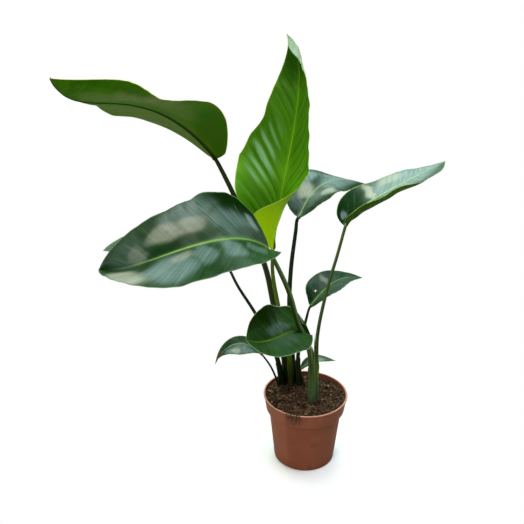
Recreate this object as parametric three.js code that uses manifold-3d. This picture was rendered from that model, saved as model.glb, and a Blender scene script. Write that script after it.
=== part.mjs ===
// Potted bird of paradise: ten paddle leaves on their stalks, potting soil and a nursery pot.
// Millimetres, +Z up, origin at the centre of the pot's base, -Y towards the front.
import * as THREE from 'three';
import { mergeVertices } from 'three/addons/utils/BufferGeometryUtils.js';
import Module from 'manifold-3d';

const wasm = await Module();
wasm.setup();

// ---------------------------------------------------------------- driving dimensions

const GAP = 0.3; // clearance between neighbouring pieces
const WELD = 1e-4; // points closer than this are one
const POT = {
  height: 145,
  rimRadius: 85,
  lipHeight: 2.4,
  lipProud: 1.6, // how far the lip stands out from the band
  bandHeight: 32,
  bandBottomRadius: 79.5,
  bodyTopRadius: 73.5,
  footRadius: 62,
  wall: 1.6,
  floor: 2.4,
  edge: 1.5, // size of the rounded edges at the foot, the band and the lip
  shoulder: 2, // height of the slope under the band
  channelInner: 20, // the raised ring of the underside, where the drain holes are
  channelOuter: 49,
  channelRise: 3,
  channelSlope: [2, 3], // of its inner and outer wall
  drainHoles: 6,
  drainRadius: 4.5,
  drainSides: 10,
  drillLength: 30,
  sectors: 40,
};
const SOIL = {
  level: 137.5,
  dip: 8, // the deepest that the surface sinks beside the rim
  lean: 2.2, // heaped this much higher at the front than at the middle
  mound: 3.5, // rise round each stalk
  moundRadius: 16,
  lumps: 60,
  lumpRadius: [6, 13],
  lumpHeight: [-1.8, 2.6],
  headroom: 1.5, // the surface stays this far below the pot's top edge
  wallGap: 0.2, // further clearance under the band's slope
  holeGap: 0.4, // round the stalks' roots
  rings: 9,
  seed: 7,
};
const BLADE = {
  thickness: 0.9,
  ribHalfWidth: 2.9, // of the midrib where it leaves the stalk
  ribDepth: 2.6,
  ribTaper: 0.8,
  ribTip: 0.5,
  ribShare: 0.25, // the most of a half's width that its share of the midrib takes
  crease: 5, // the fold at the midrib is rounded over this width
  swell: 0.9, // how the outline widens from the stalk: 1 is an even sine
  tipWidth: 0.02, // of the leaf's half width, so that the tip is a narrow edge
  lobePower: 2, // bases that narrow to the stalk follow this power
  roundLobe: [0.12, 0.75], // and those that reach back past it do so between these shares of the width
  lobeSpan: 0.3, // the share of the midrib beside which the basal lobes sweep back
  veinSlant: 0.18, // how far side veins run on towards the tip on their way to the margin
  waveRise: 6, // waves reach their full height over a sixth of the midrib,
  waveFade: 4, // and die away over the last quarter
  waveStart: 0.2, // from this share of it
};
const STALK = {
  sides: 8,
  rings: 15,
  flatness: 0.82, // depth of the section over its width
  rootRadius: 0.6, // of the stalk's radius at its buried end
  rootLength: 0.06, // the share of the length over which the root end narrows
  topSink: 1, // the stalk's top lies this far under the blade's own surface
  topGap: 0.7, // and ends this far short of it
  topStraight: 1.5, // times the radius: the piece below the blade that turns towards the midrib
  sheathFade: 0.14, // the share of the length over which a sheath thins out
  midribInset: 0.3, // the midrib starts this much narrower than the stalk
};

// Each leaf grows along a midrib, a cubic curve from the stalk's end to the tip.
//   face       [share of the midrib, x, y, z]: where the upper side looks
//   halfWidth  of the left and right half at their widest, seen from the stalk
//   widest     share of the midrib at which that is; point: how blunt the tip is
//   base       width at the stalk over the widest, for each half
//   lobe       how far each half sweeps back past the stalk's end
//   fold       [share, left, right]: degrees that each half rises from flat at the midrib
//   curl       [share, left, right]: degrees that each half then turns on, out to its margin
//   wave       [height, count, phase] of each margin; pleat: [height, count] between the side veins
//   stalk      points from the buried root to just under the blade; radius: at the soil, at the blade
//   taper      how early the stalk slims down
//   sheath     [thickness, share of the stalk's length]: the older leaf bases wrapped round its foot
const LEAVES = [
  {
    name: 'upper_left',
    colour: 0x5c7838,
    midrib: [[-164, -64, 633], [-262, -157, 791], [-348, -188, 696], [-346, -285, 774]],
    face: [[0, 0.38, 0.85, 0.3], [1, 0.1, 0.8, 0.5]],
    halfWidth: [113, 67],
    widest: 0.33,
    base: [0.21, 0.24],
    point: 3.2,
    lobe: [-7, -8],
    fold: [[0, 8, 23], [0.5, -35, 24], [1, 20, 35]],
    curl: [[0, -15, -7], [1, 14, 40]],
    wave: [[0, 0, 0], [2, 2, 0.2]],
    pleat: [0.5, 9],
    rows: 18,
    columns: 5,
    stalk: [[-33, 49, 98], [-37, 53, 137], [-43, 33, 216], [-66, 3, 340], [-83, -18, 428], [-136, -51, 569]],
    radius: [6.9, 3.3],
    taper: 0.7,
  },
  {
    name: 'front_left',
    colour: 0x33584a,
    midrib: [[-77, -161, 509], [-141, -288, 609], [-254, -267, 503], [-343, -173, 481]],
    face: [[0, 0.1, -0.6, 0.8], [1, 0.1, -0.6, 0.8]],
    halfWidth: [72, 73],
    widest: 0.25,
    base: [0.22, 0.16],
    point: 2.55,
    lobe: [-5, -4],
    fold: [[0, 24, 14], [0.5, 11, 8], [1, 36, 74]],
    curl: [[0, 18, 21], [0.5, 5, 7], [1, 11, 13]],
    wave: [[1.5, 3, 0.1], [1.8, 3, 0.4]],
    pleat: [0.6, 9],
    rows: 18,
    columns: 5,
    stalk: [[9, -20, 98], [11, -23, 137], [7, -45, 213], [0, -68, 278], [-25, -95, 350], [-44, -125, 424]],
    radius: [6.9, 3.1],
    taper: 0.8,
    sheath: [1, 0.48],
  },
  {
    name: 'newest',
    colour: 0x5f9430,
    midrib: [[-70, -46, 470], [-57, -50, 600], [8, 13, 784], [-49, -23, 825]],
    face: [[0, -1, 0.2, 0], [0.35, -0.9, -0.5, 0], [1, -0.6, -0.9, 0]],
    halfWidth: [96, 94],
    widest: 0.35,
    base: [0.65, 0.58],
    point: 0.85,
    lobe: [-54, -56],
    fold: [[0, 23, -26], [0.35, 20, -8], [1, 15, 44]],
    curl: [[0, 180, 155], [0.35, 26, 37], [1, 5, 7]],
    wave: [[2, 3, 0.3], [1.5, 3, 0]],
    pleat: [1.1, 8],
    rows: 22,
    columns: 5,
    stalk: [[-25, 32, 98], [-27, 37, 137], [-34, 13, 226], [-58, -19, 349], [-69, -38, 424]],
    radius: [6.5, 3.5],
    taper: 1,
  },
  {
    name: 'back_right',
    colour: 0x5a7a70,
    midrib: [[-19, 49, 500], [-8, 66, 502], [4, 106, 589], [124, 160, 538]],
    face: [[0, -0.2, -0.5, 0.8], [1, 0, -0.4, 0.9]],
    halfWidth: [47, 47],
    widest: 0.55,
    base: [0.35, 0.35],
    point: 2.25,
    lobe: [5, 10],
    fold: [[0, 33, 30], [0.5, 18, 12], [1, -25, -12]],
    curl: [[0, 22, 21], [0.5, 11, 8], [1, -12, -9]],
    wave: [[1, 2, 0], [1, 3, 0.3]],
    pleat: [0.5, 6],
    rows: 13,
    columns: 4,
    stalk: [[-16, 46, 98], [-18, 51, 137], [-26, 49, 207], [-33, 50, 315], [-31, 51, 396], [-23, 53, 473]],
    radius: [5.6, 3.1],
    taper: 0.6,
  },
  {
    name: 'low_right',
    colour: 0x4c7060,
    midrib: [[4, -11, 343], [23, 8, 356], [49, 47, 388], [113, 65, 369]],
    face: [[0, -0.2, -0.5, 0.8], [1, 0, -0.4, 0.9]],
    halfWidth: [35, 34],
    widest: 0.41,
    base: [0.35, 0.35],
    point: 1.9,
    lobe: [-6, 7],
    fold: [[0, 30, 32], [0.5, 12, 18], [1, -1, 14]],
    curl: [[0, 19, 22], [0.5, 7, 12], [1, -7, 3]],
    wave: [[1, 2, 0.2], [1, 2, 0.6]],
    pleat: [0.4, 5],
    rows: 12,
    columns: 4,
    stalk: [[-9, 33, 98], [-10, 38, 137], [-15, 22, 220], [-3, -1, 308]],
    radius: [5.8, 2.2],
    taper: 1,
  },
  {
    name: 'low_front',
    colour: 0x3c6a36,
    midrib: [[-31, -90, 327], [-42, -92, 336], [-78, -152, 328], [-115, -178, 360]],
    face: [[0, 0.1, -0.5, 0.8], [1, 0.1, -0.3, 0.9]],
    halfWidth: [61, 60],
    widest: 0.41,
    base: [0.48, 0.48],
    point: 2.3,
    lobe: [37, 35],
    fold: [[0, 42, 8], [0.5, 16, 27], [1, -2, 0]],
    curl: [[0, 26, 6], [0.5, 5, 13], [1, -5, -4]],
    wave: [[1.2, 2, 0.1], [1.2, 3, 0.5]],
    pleat: [0.5, 6],
    rows: 13,
    columns: 5,
    stalk: [[6, -4, 98], [7, -7, 137], [6, -31, 218], [-2, -52, 271], [-20, -71, 303]],
    radius: [3.8, 2.4],
    taper: 1.2,
  },
  {
    name: 'right',
    colour: 0x5f8070,
    midrib: [[50, -94, 527], [60, -97, 566], [156, -107, 610], [212, -69, 630]],
    face: [[0, -0.4, -0.6, 0.7], [1, -0.2, -0.6, 0.8]],
    halfWidth: [46, 47],
    widest: 0.42,
    base: [0.39, 0.41],
    point: 2.3,
    lobe: [-12, -14],
    fold: [[0, 14, 12], [0.5, -27, 6], [1, -24, -4]],
    curl: [[0, 36, 111], [0.5, 13, 90], [1, -17, 45]],
    wave: [[1, 3, 0.1], [1.8, 4, 0]],
    pleat: [0.5, 7],
    rows: 16,
    columns: 5,
    stalk: [[17, -6, 98], [19, -10, 137], [18, -27, 218], [16, -43, 298], [28, -65, 401], [41, -81, 471]],
    radius: [4.6, 2.6],
    taper: 1.3,
  },
  {
    name: 'behind_left',
    colour: 0x3f6152,
    midrib: [[-150, -62, 444], [-202, -76, 476], [-303, -90, 497], [-349, -118, 492]],
    face: [[0, 0.1, -0.4, 0.9], [1, 0.1, -0.3, 0.9]],
    halfWidth: [44, 43],
    widest: 0.42,
    base: [0.4, 0.4],
    point: 2.15,
    lobe: [10, 10],
    fold: [[0, 25, 25], [0.5, 15, 13], [1, 10, 6]],
    curl: [[0, 20, 20], [0.5, 10, 8], [1, 0, -3]],
    wave: [[1.2, 3, 0.3], [1.2, 3, 0]],
    pleat: [0.5, 7],
    rows: 14,
    columns: 4,
    stalk: [[-39, 35, 98], [-45, 40, 137], [-61, 16, 224], [-98, -21, 327], [-132, -46, 399]],
    radius: [5.6, 2.5],
    taper: 1.2,
    sheath: [2.8, 0.42],
  },
  {
    name: 'lowest_right',
    colour: 0x50705a,
    midrib: [[-8, 24, 185], [8, 34, 196], [21, 35, 209], [63, 34, 198]],
    face: [[0, -0.2, -0.3, 0.9], [1, 0, -0.2, 0.9]],
    halfWidth: [12, 14],
    widest: 0.42,
    base: [0.4, 0.4],
    point: 2.1,
    lobe: [-3, 2],
    fold: [[0, 30, 23], [0.5, 17, 17], [1, 10, 5]],
    curl: [[0, 20, 15], [0.5, 8, 8], [1, 0, -4]],
    wave: [[0, 0, 0], [0.6, 2, 0]],
    pleat: [0, 4],
    rows: 9,
    columns: 3,
    stalk: [[2, 27, 105], [1, 30, 137], [-6, 27, 163]],
    radius: [2.6, 1.7],
    taper: 1,
  },
  {
    name: 'lowest_left',
    colour: 0x4a7068,
    midrib: [[-86, -4, 232], [-118, -18, 279], [-156, -19, 276], [-180, -13, 218]],
    face: [[0, 0.1, -0.5, 0.9], [1, -0.7, -0.4, 0.6]],
    halfWidth: [23, 16],
    widest: 0.44,
    base: [0.4, 0.38],
    point: 2,
    lobe: [-5, -13],
    fold: [[0, 33, 28], [0.5, -11, 11], [1, 29, 20]],
    curl: [[0, 22, 19], [0.5, 6, 17], [1, 26, 20]],
    wave: [[0.8, 2, 0], [0.8, 2, 0.5]],
    pleat: [0, 5],
    rows: 12,
    columns: 3,
    stalk: [[-48, 24, 98], [-52, 27, 137], [-58, 23, 161], [-71, 10, 200]],
    radius: [2.7, 1.8],
    taper: 1,
  },
];

// ---------------------------------------------------------------- small helpers

const vector = (point) => new THREE.Vector3(...point);
const radians = THREE.MathUtils.degToRad;

// A repeatable stream of numbers from 0 to 1.
function randomStream(seed) {
  let state = seed;
  return () => {
    state = (state * 1664525 + 1013904223) % 4294967296;
    return state / 4294967296;
  };
}

// The value of one column of a station list at a share t, eased from station to station.
function station(rows, t, column) {
  const next = rows.findIndex((row) => row[0] >= t);
  if (next === -1) return rows[rows.length - 1][column];
  if (next === 0) return rows[0][column];
  const before = rows[next - 1];
  const after = rows[next];
  const eased = THREE.MathUtils.smoothstep(t, before[0], after[0]);
  return before[column] + (after[column] - before[column]) * eased;
}

function bufferGeometry(points, triangles) {
  const geometry = new THREE.BufferGeometry();
  const positions = points.flatMap((p) => [p.x, p.y, p.z]);
  geometry.setAttribute('position', new THREE.Float32BufferAttribute(positions, 3));
  geometry.setIndex(triangles.flat());
  geometry.computeVertexNormals();
  return geometry;
}

function toManifold(geometry) {
  const bare = geometry.clone();
  bare.deleteAttribute('normal');
  bare.deleteAttribute('uv');
  const merged = mergeVertices(bare, WELD);
  return new wasm.Manifold(new wasm.Mesh({
    numProp: 3,
    vertProperties: new Float32Array(merged.attributes.position.array),
    triVerts: new Uint32Array(merged.index.array),
  }));
}

function fromManifold(solid) {
  const mesh = solid.getMesh();
  const geometry = new THREE.BufferGeometry();
  geometry.setAttribute('position', new THREE.Float32BufferAttribute(mesh.vertProperties, 3));
  geometry.setIndex([...mesh.triVerts]);
  geometry.computeVertexNormals();
  return geometry;
}

function quad(triangles, a, b, c, d) {
  triangles.push([a, b, c], [a, c, d]);
}

// ---------------------------------------------------------------- leaf blade

// How wide a half is at a share t of the midrib, as a share of its widest.
function outline(leaf, t, half) {
  const start = leaf.base[half];
  if (t < leaf.widest) {
    return start + (1 - start) * Math.sin((Math.PI / 2) * (t / leaf.widest)) ** BLADE.swell;
  }
  const s = (t - leaf.widest) / (1 - leaf.widest);
  return Math.max(1 - s ** leaf.point, BLADE.tipWidth);
}

// The midrib's point, direction, side and upward directions at a share t.
function midribFrame(leaf, t) {
  const curve = new THREE.CubicBezierCurve3(...leaf.midrib.map(vector));
  const along = curve.getTangent(t);
  const face = new THREE.Vector3(...[1, 2, 3].map((column) => station(leaf.face, t, column)));
  const side = new THREE.Vector3().crossVectors(along, face).normalize();
  const up = new THREE.Vector3().crossVectors(side, along);
  return { point: curve.getPoint(t), along, side, up };
}

// A point of the blade's middle surface and the direction of its thickness there.
// u runs from 0 at the midrib to 1 at the margin.
function bladePoint(leaf, frame, t, half, u) {
  const sign = half === 0 ? -1 : 1;
  const width = leaf.halfWidth[half] * outline(leaf, t, half);
  const fold = radians(station(leaf.fold, t, half + 1));
  const curl = radians(station(leaf.curl, t, half + 1)) || 1e-3;
  const angle = fold + curl * u;
  const out = (width * (Math.sin(angle) - Math.sin(fold))) / curl;
  const rise = (width * (Math.cos(fold) - Math.cos(angle))) / curl;
  const turned = (a) => frame.side.clone().multiplyScalar(-sign * Math.sin(a))
    .addScaledVector(frame.up, Math.cos(a));
  const [height, count, phase] = leaf.wave[half];
  const ends = Math.min(1, (1 - t) * BLADE.waveFade) * Math.min(1, t * BLADE.waveRise + BLADE.waveStart);
  const wave = height * u * u * Math.sin(2 * Math.PI * (count * t + phase)) * ends;
  const slant = t - BLADE.veinSlant * u;
  const pleat = leaf.pleat[0] * 4 * u * (1 - u) * Math.sin(2 * Math.PI * leaf.pleat[1] * slant) * ends;
  const shape = leaf.lobe[half] > 0
    ? THREE.MathUtils.smoothstep(u, ...BLADE.roundLobe)
    : u ** BLADE.lobePower;
  const back = leaf.lobe[half] * Math.max(0, 1 - t / BLADE.lobeSpan) ** 2 * shape;
  const point = frame.point.clone()
    .addScaledVector(frame.side, sign * out)
    .addScaledVector(frame.up, rise)
    .addScaledVector(turned(angle), wave + pleat)
    .addScaledVector(frame.along, -back);
  const rounded = THREE.MathUtils.smoothstep(u * width, 0, BLADE.crease);
  return { point, normal: turned(angle * rounded) };
}

// The stops across one half, from the margin to the midrib's edge.
function stops(leaf, t, half) {
  const width = leaf.halfWidth[half] * outline(leaf, t, half);
  const rib = Math.min(ribHalfWidth(leaf, t) / width, BLADE.ribShare);
  const even = Array.from({ length: leaf.columns }, (_, i) => rib + ((1 - rib) * (i + 1)) / leaf.columns);
  return [...even.reverse(), rib];
}

function ribHalfWidth(leaf, t) {
  const thick = leaf.radius[1] - STALK.midribInset;
  return BLADE.ribTip + (thick - BLADE.ribTip) * (1 - t);
}

function ribDepth(leaf, t) {
  const deep = (BLADE.ribDepth * leaf.radius[1]) / BLADE.ribHalfWidth;
  return deep * (1 - t) ** BLADE.ribTaper;
}

// A closed sheet between two grids of points, split into triangles alike on both faces.
function sheetGeometry(top, bottom) {
  const rows = top.length;
  const columns = top[0].length;
  const points = [...top.flat(), ...bottom.flat()];
  const upper = (i, j) => i * columns + j;
  const lower = (i, j) => rows * columns + i * columns + j;
  const triangles = [];
  for (let i = 0; i < rows - 1; i += 1) {
    for (let j = 0; j < columns - 1; j += 1) {
      quad(triangles, upper(i, j), upper(i, j + 1), upper(i + 1, j + 1), upper(i + 1, j));
      triangles.push([lower(i, j), lower(i + 1, j + 1), lower(i, j + 1)]);
      triangles.push([lower(i, j), lower(i + 1, j), lower(i + 1, j + 1)]);
    }
  }
  const last = columns - 1;
  for (let i = 0; i < rows - 1; i += 1) {
    quad(triangles, upper(i, 0), upper(i + 1, 0), lower(i + 1, 0), lower(i, 0));
    quad(triangles, upper(i, last), lower(i, last), lower(i + 1, last), upper(i + 1, last));
  }
  const end = rows - 1;
  for (let j = 0; j < columns - 1; j += 1) {
    quad(triangles, upper(0, j), lower(0, j), lower(0, j + 1), upper(0, j + 1));
    quad(triangles, upper(end, j), upper(end, j + 1), lower(end, j + 1), lower(end, j));
  }
  return bufferGeometry(points, triangles);
}

function bladeGeometry(leaf) {
  const middle = [];
  for (let i = 0; i < leaf.rows; i += 1) {
    const t = i / (leaf.rows - 1);
    const frame = midribFrame(leaf, t);
    const left = stops(leaf, t, 0).map((u) => bladePoint(leaf, frame, t, 0, u));
    const right = stops(leaf, t, 1).map((u) => bladePoint(leaf, frame, t, 1, u)).reverse();
    middle.push([...left, { point: frame.point, normal: frame.up }, ...right]);
  }
  const rib = leaf.columns + 1;
  const half = BLADE.thickness / 2;
  const shifted = (sign) => middle.map((row, i) => row.map(({ point, normal }, j) => {
    const ridge = sign < 0 && j === rib ? ribDepth(leaf, i / (leaf.rows - 1)) : 0;
    return point.clone().addScaledVector(normal, sign * (half + ridge));
  }));
  return sheetGeometry(shifted(1), shifted(-1));
}

// ---------------------------------------------------------------- stalk

function stalkRadius(leaf, s) {
  const [atSoil, atBlade] = leaf.radius;
  const [thickness, top] = leaf.sheath ?? [0, 1];
  const sheath = thickness * (1 - THREE.MathUtils.smoothstep(s, top - STALK.sheathFade, top));
  const body = atBlade + (atSoil - atBlade) * (1 - s) ** leaf.taper + sheath;
  const root = THREE.MathUtils.lerp(STALK.rootRadius, 1, Math.min(1, s / STALK.rootLength));
  return body * root;
}

// The stalk's centre line ends a gap short of the blade, in line with the midrib.
function stalkCurve(leaf) {
  const frame = midribFrame(leaf, 0);
  const sink = STALK.topSink * (leaf.radius[1] / BLADE.ribHalfWidth);
  const end = frame.point.clone()
    .addScaledVector(frame.up, -sink)
    .addScaledVector(frame.along, -STALK.topGap);
  const turning = end.clone().sub(vector(leaf.stalk.at(-1))).normalize().add(frame.along).normalize();
  const before = end.clone().addScaledVector(turning, -STALK.topStraight * leaf.radius[1]);
  return new THREE.CatmullRomCurve3([...leaf.stalk.map(vector), before, end], false, 'centripetal');
}

// The stalk, or with some extra radius and depth the hole that it stands in.
function stalkGeometry(leaf, extra = 0) {
  const curve = stalkCurve(leaf);
  const points = [];
  const rings = STALK.rings;
  const width = new THREE.Vector3(1, 0, 0);
  let last = curve.getTangentAt(0);
  width.projectOnPlane(last).normalize();
  for (let i = 0; i < rings; i += 1) {
    const s = i / (rings - 1);
    const along = i === rings - 1 ? midribFrame(leaf, 0).along : curve.getTangentAt(s);
    width.applyQuaternion(new THREE.Quaternion().setFromUnitVectors(last, along));
    last = along;
    const centre = curve.getPointAt(s).addScaledVector(along, i === 0 ? -extra : 0);
    const depth = new THREE.Vector3().crossVectors(along, width);
    const radius = stalkRadius(leaf, s) + extra;
    for (let k = 0; k < STALK.sides; k += 1) {
      const angle = (2 * Math.PI * (k + 0.5)) / STALK.sides;
      const point = centre.clone()
        .addScaledVector(width, radius * Math.cos(angle))
        .addScaledVector(depth, radius * STALK.flatness * Math.sin(angle));
      points.push(point);
    }
  }
  return bufferGeometry(points, tubeTriangles(rings, STALK.sides));
}

// Triangles of a tube of rings that turn anticlockwise seen from its end, closed by flat caps.
function tubeTriangles(rings, sides) {
  const at = (i, k) => i * sides + (k % sides);
  const triangles = [];
  for (let i = 0; i < rings - 1; i += 1) {
    for (let k = 0; k < sides; k += 1) {
      quad(triangles, at(i, k), at(i, k + 1), at(i + 1, k + 1), at(i + 1, k));
    }
  }
  for (let k = 1; k < sides - 1; k += 1) {
    triangles.push([at(0, 0), at(0, k + 1), at(0, k)]);
    triangles.push([at(rings - 1, 0), at(rings - 1, k), at(rings - 1, k + 1)]);
  }
  return triangles;
}

// ---------------------------------------------------------------- pot

// Outer radius of the pot's body at a height, below the band.
function bodyRadius(z) {
  return POT.footRadius + ((POT.bodyTopRadius - POT.footRadius) * z) / (POT.height - POT.bandHeight);
}

function potProfile() {
  const { height, wall, floor, edge, shoulder, channelRise } = POT;
  const step = height - POT.bandHeight;
  const lip = height - POT.lipHeight;
  const bandTop = POT.rimRadius - POT.lipProud;
  return [
    [0, 0],
    [POT.channelInner - POT.channelSlope[0], 0],
    [POT.channelInner, channelRise],
    [POT.channelOuter, channelRise],
    [POT.channelOuter + POT.channelSlope[1], 0],
    [POT.footRadius - 2 * edge, 0],
    [POT.footRadius, edge],
    [bodyRadius(step - shoulder), step - shoulder],
    [POT.bandBottomRadius - edge, step - edge / 2],
    [POT.bandBottomRadius, step + edge],
    [bandTop, lip - edge],
    [POT.rimRadius, lip],
    [POT.rimRadius, height - edge / 2],
    [POT.rimRadius - edge / 2, height],
    [bandTop - wall, height],
    [bandTop - wall, lip - edge],
    [POT.bandBottomRadius - wall, step + edge + wall],
    [bodyRadius(step - shoulder) - wall, step - shoulder + wall],
    [bodyRadius(channelRise + floor) - wall, channelRise + floor],
    [0, channelRise + floor],
  ];
}

function potGeometry() {
  const profile = potProfile().map(([r, z]) => new THREE.Vector2(r, z));
  const body = new THREE.LatheGeometry(profile, POT.sectors);
  body.rotateX(Math.PI / 2);
  let pot = toManifold(body);
  if (pot.volume() < 0) throw new Error('the pot is inside out');
  const ring = (POT.channelInner + POT.channelOuter) / 2;
  for (let i = 0; i < POT.drainHoles; i += 1) {
    const angle = (2 * Math.PI * i) / POT.drainHoles;
    const drill = new THREE.CylinderGeometry(
      POT.drainRadius,
      POT.drainRadius,
      POT.drillLength,
      POT.drainSides,
    );
    drill.rotateX(Math.PI / 2);
    drill.translate(ring * Math.cos(angle), ring * Math.sin(angle), 0);
    pot = pot.subtract(toManifold(drill));
  }
  return fromManifold(pot);
}

// ---------------------------------------------------------------- soil

const random = randomStream(SOIL.seed);
const between = ([low, high]) => low + (high - low) * random();
const lumps = Array.from({ length: SOIL.lumps }, () => {
  const angle = 2 * Math.PI * random();
  const distance = POT.rimRadius * Math.sqrt(random());
  return {
    x: distance * Math.cos(angle),
    y: distance * Math.sin(angle),
    radius: between(SOIL.lumpRadius),
    height: between(SOIL.lumpHeight),
  };
});

function soilHeight(x, y) {
  let z = SOIL.level - (SOIL.lean * y) / POT.rimRadius;
  for (const lump of lumps) {
    const distance = Math.hypot(x - lump.x, y - lump.y) / lump.radius;
    z += lump.height * Math.exp(-distance * distance);
  }
  const nearest = Math.min(...LEAVES.map((leaf) => Math.hypot(x - leaf.stalk[1][0], y - leaf.stalk[1][1])));
  z += SOIL.mound * Math.exp(-((nearest / SOIL.moundRadius) ** 2));
  return Math.min(z, POT.height - SOIL.headroom);
}

function soilGeometry() {
  const sectors = POT.sectors;
  const step = POT.height - POT.bandHeight;
  const bandInner = (z) => {
    const low = step + POT.edge + POT.wall;
    const high = POT.height - POT.lipHeight - POT.edge;
    const share = (z - low) / (high - low);
    const top = POT.rimRadius - POT.lipProud - POT.wall;
    return THREE.MathUtils.lerp(POT.bandBottomRadius - POT.wall, top, share);
  };
  const bottom = POT.channelRise + POT.floor + GAP;
  const side = [
    [bodyRadius(bottom) - POT.wall - GAP, bottom],
    [bodyRadius(step - POT.shoulder) - POT.wall - GAP, step - POT.shoulder + POT.wall + SOIL.wallGap],
    [POT.bandBottomRadius - POT.wall - GAP, step + POT.edge + POT.wall + SOIL.wallGap],
  ];
  const rim = bandInner(SOIL.level - SOIL.dip) - GAP;
  const directions = Array.from({ length: sectors }, (_, k) => (2 * Math.PI * k) / sectors);
  const ring = (r, heightAt) => directions.map((angle) => {
    const x = r * Math.cos(angle);
    const y = r * Math.sin(angle);
    return new THREE.Vector3(x, y, heightAt(x, y));
  });
  const rings = side.map(([r, z]) => ring(r, () => z));
  for (let i = 0; i < SOIL.rings; i += 1) {
    rings.push(ring(rim * (1 - i / SOIL.rings), soilHeight));
  }
  const points = rings.flat();
  const at = (i, k) => i * sectors + (k % sectors);
  const centreTop = points.push(new THREE.Vector3(0, 0, soilHeight(0, 0))) - 1;
  const centreBottom = points.push(new THREE.Vector3(0, 0, bottom)) - 1;
  const triangles = [];
  for (let k = 0; k < sectors; k += 1) {
    for (let i = 0; i < rings.length - 1; i += 1) {
      quad(triangles, at(i, k), at(i, k + 1), at(i + 1, k + 1), at(i + 1, k));
    }
    triangles.push([centreBottom, at(0, k + 1), at(0, k)]);
    triangles.push([centreTop, at(rings.length - 1, k), at(rings.length - 1, k + 1)]);
  }
  let soil = toManifold(bufferGeometry(points, triangles));
  for (const leaf of LEAVES) {
    soil = soil.subtract(toManifold(stalkGeometry(leaf, SOIL.holeGap)));
  }
  return fromManifold(soil);
}

// ---------------------------------------------------------------- the object

function addMesh(group, name, geometry, colour, roughness) {
  const material = new THREE.MeshStandardMaterial({ color: colour, roughness, metalness: 0 });
  const mesh = new THREE.Mesh(geometry, material);
  mesh.name = name;
  group.add(mesh);
}

const plant = new THREE.Group();
for (const leaf of LEAVES) {
  addMesh(plant, `leaf_${leaf.name}`, bladeGeometry(leaf), leaf.colour, 0.35);
  addMesh(plant, `stalk_${leaf.name}`, stalkGeometry(leaf), 0x2f4a22, 0.5);
}

const object = new THREE.Group();
object.name = 'potted_bird_of_paradise';
addMesh(object, 'pot', potGeometry(), 0x9a5a40, 0.55);
addMesh(object, 'soil', soilGeometry(), 0x3a281c, 1);
object.add(plant);

export default object;
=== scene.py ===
import math
import random

import bmesh
import bpy
import numpy as np
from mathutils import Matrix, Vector, noise


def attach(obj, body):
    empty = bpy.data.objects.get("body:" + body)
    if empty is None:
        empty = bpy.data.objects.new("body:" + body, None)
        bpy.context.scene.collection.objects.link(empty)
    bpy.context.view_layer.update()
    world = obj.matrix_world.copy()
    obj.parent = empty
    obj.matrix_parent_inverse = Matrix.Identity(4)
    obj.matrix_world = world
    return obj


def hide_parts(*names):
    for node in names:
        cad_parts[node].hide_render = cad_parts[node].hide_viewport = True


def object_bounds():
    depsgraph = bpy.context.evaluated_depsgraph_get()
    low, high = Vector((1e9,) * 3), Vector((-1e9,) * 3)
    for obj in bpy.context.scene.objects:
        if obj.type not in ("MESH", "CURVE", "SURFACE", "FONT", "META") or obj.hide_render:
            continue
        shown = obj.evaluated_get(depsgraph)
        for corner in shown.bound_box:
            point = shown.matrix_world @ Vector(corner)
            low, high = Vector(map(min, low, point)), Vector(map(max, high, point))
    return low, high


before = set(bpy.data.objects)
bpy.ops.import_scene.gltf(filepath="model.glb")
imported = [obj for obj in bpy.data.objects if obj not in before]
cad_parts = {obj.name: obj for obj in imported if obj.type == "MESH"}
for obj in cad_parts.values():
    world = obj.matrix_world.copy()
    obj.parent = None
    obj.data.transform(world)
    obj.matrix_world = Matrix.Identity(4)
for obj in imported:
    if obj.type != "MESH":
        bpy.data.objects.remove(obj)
cad_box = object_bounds()

MM = 0.001
rng = random.Random(11)

# ---------------------------------------------------------------- camera

CAMERA_AT = (-0.088, -1.046, 0.823)
CAMERA_PITCH = 69.3  # degrees from straight down
LENS = 41.22  # mm, on a 36 mm sensor

camera_data = bpy.data.cameras.new("camera")
camera_data.lens = LENS
camera_data.sensor_width = 36
camera_data.clip_end = 200
camera = bpy.data.objects.new("camera", camera_data)
camera.location = CAMERA_AT
camera.rotation_euler = (math.radians(CAMERA_PITCH), 0, 0)
bpy.context.scene.collection.objects.link(camera)
bpy.context.scene.camera = camera

# ---------------------------------------------------------------- sizes, in millimetres

POT = {
    "height": 145, "rim": 85, "lip_height": 2.4, "lip_proud": 1.6, "band_height": 32,
    "band_bottom": 79.5, "body_top": 73.5, "foot": 62, "wall": 1.6, "floor": 2.4, "edge": 1.5,
    "shoulder": 2, "channel": (20, 49), "channel_rise": 3, "channel_slope": (2, 3),
    "drains": 6, "drain_radius": 4.5, "sectors": 144, "sharp_from": 50,
}
SOIL = {
    "level": 137.5, "lean": 2.2, "mound": 3.5, "mound_radius": 16, "headroom": 1.5, "gap": 0.3,
    "lumps": 70, "lump_radius": (5, 12), "lump_height": (-1.8, 2.4),
}
BLADE = {
    "rib": 2.9, "rib_depth": 2.6, "rib_taper": 0.8, "rib_tip": 0.5, "swell": 0.9,
    "lobe_power": 2, "round_lobe": (0.12, 0.75), "corner_span": 0.07, "corner_cut": 0.3,
    "lobe_span": 0.3, "slant": 0.18, "vein_slant": 0.14, "wave_rise": 6, "wave_fade": 4, "wave_start": 0.2,
    "ripple": 0.013, "dry_from": 0.975, "half_thickness": 0.42, "thinning": 0.2,
    "row": 2.4, "fine_row": 1.7, "column": 2.8, "rib_stops": (0.0, 0.22, 0.45, 0.7, 0.95, 1.3),
    "shoulder": 0.5, "channel": 0.55, "channel_width": 0.42, "hole_edge": (2.0, 3.5),
}
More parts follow.
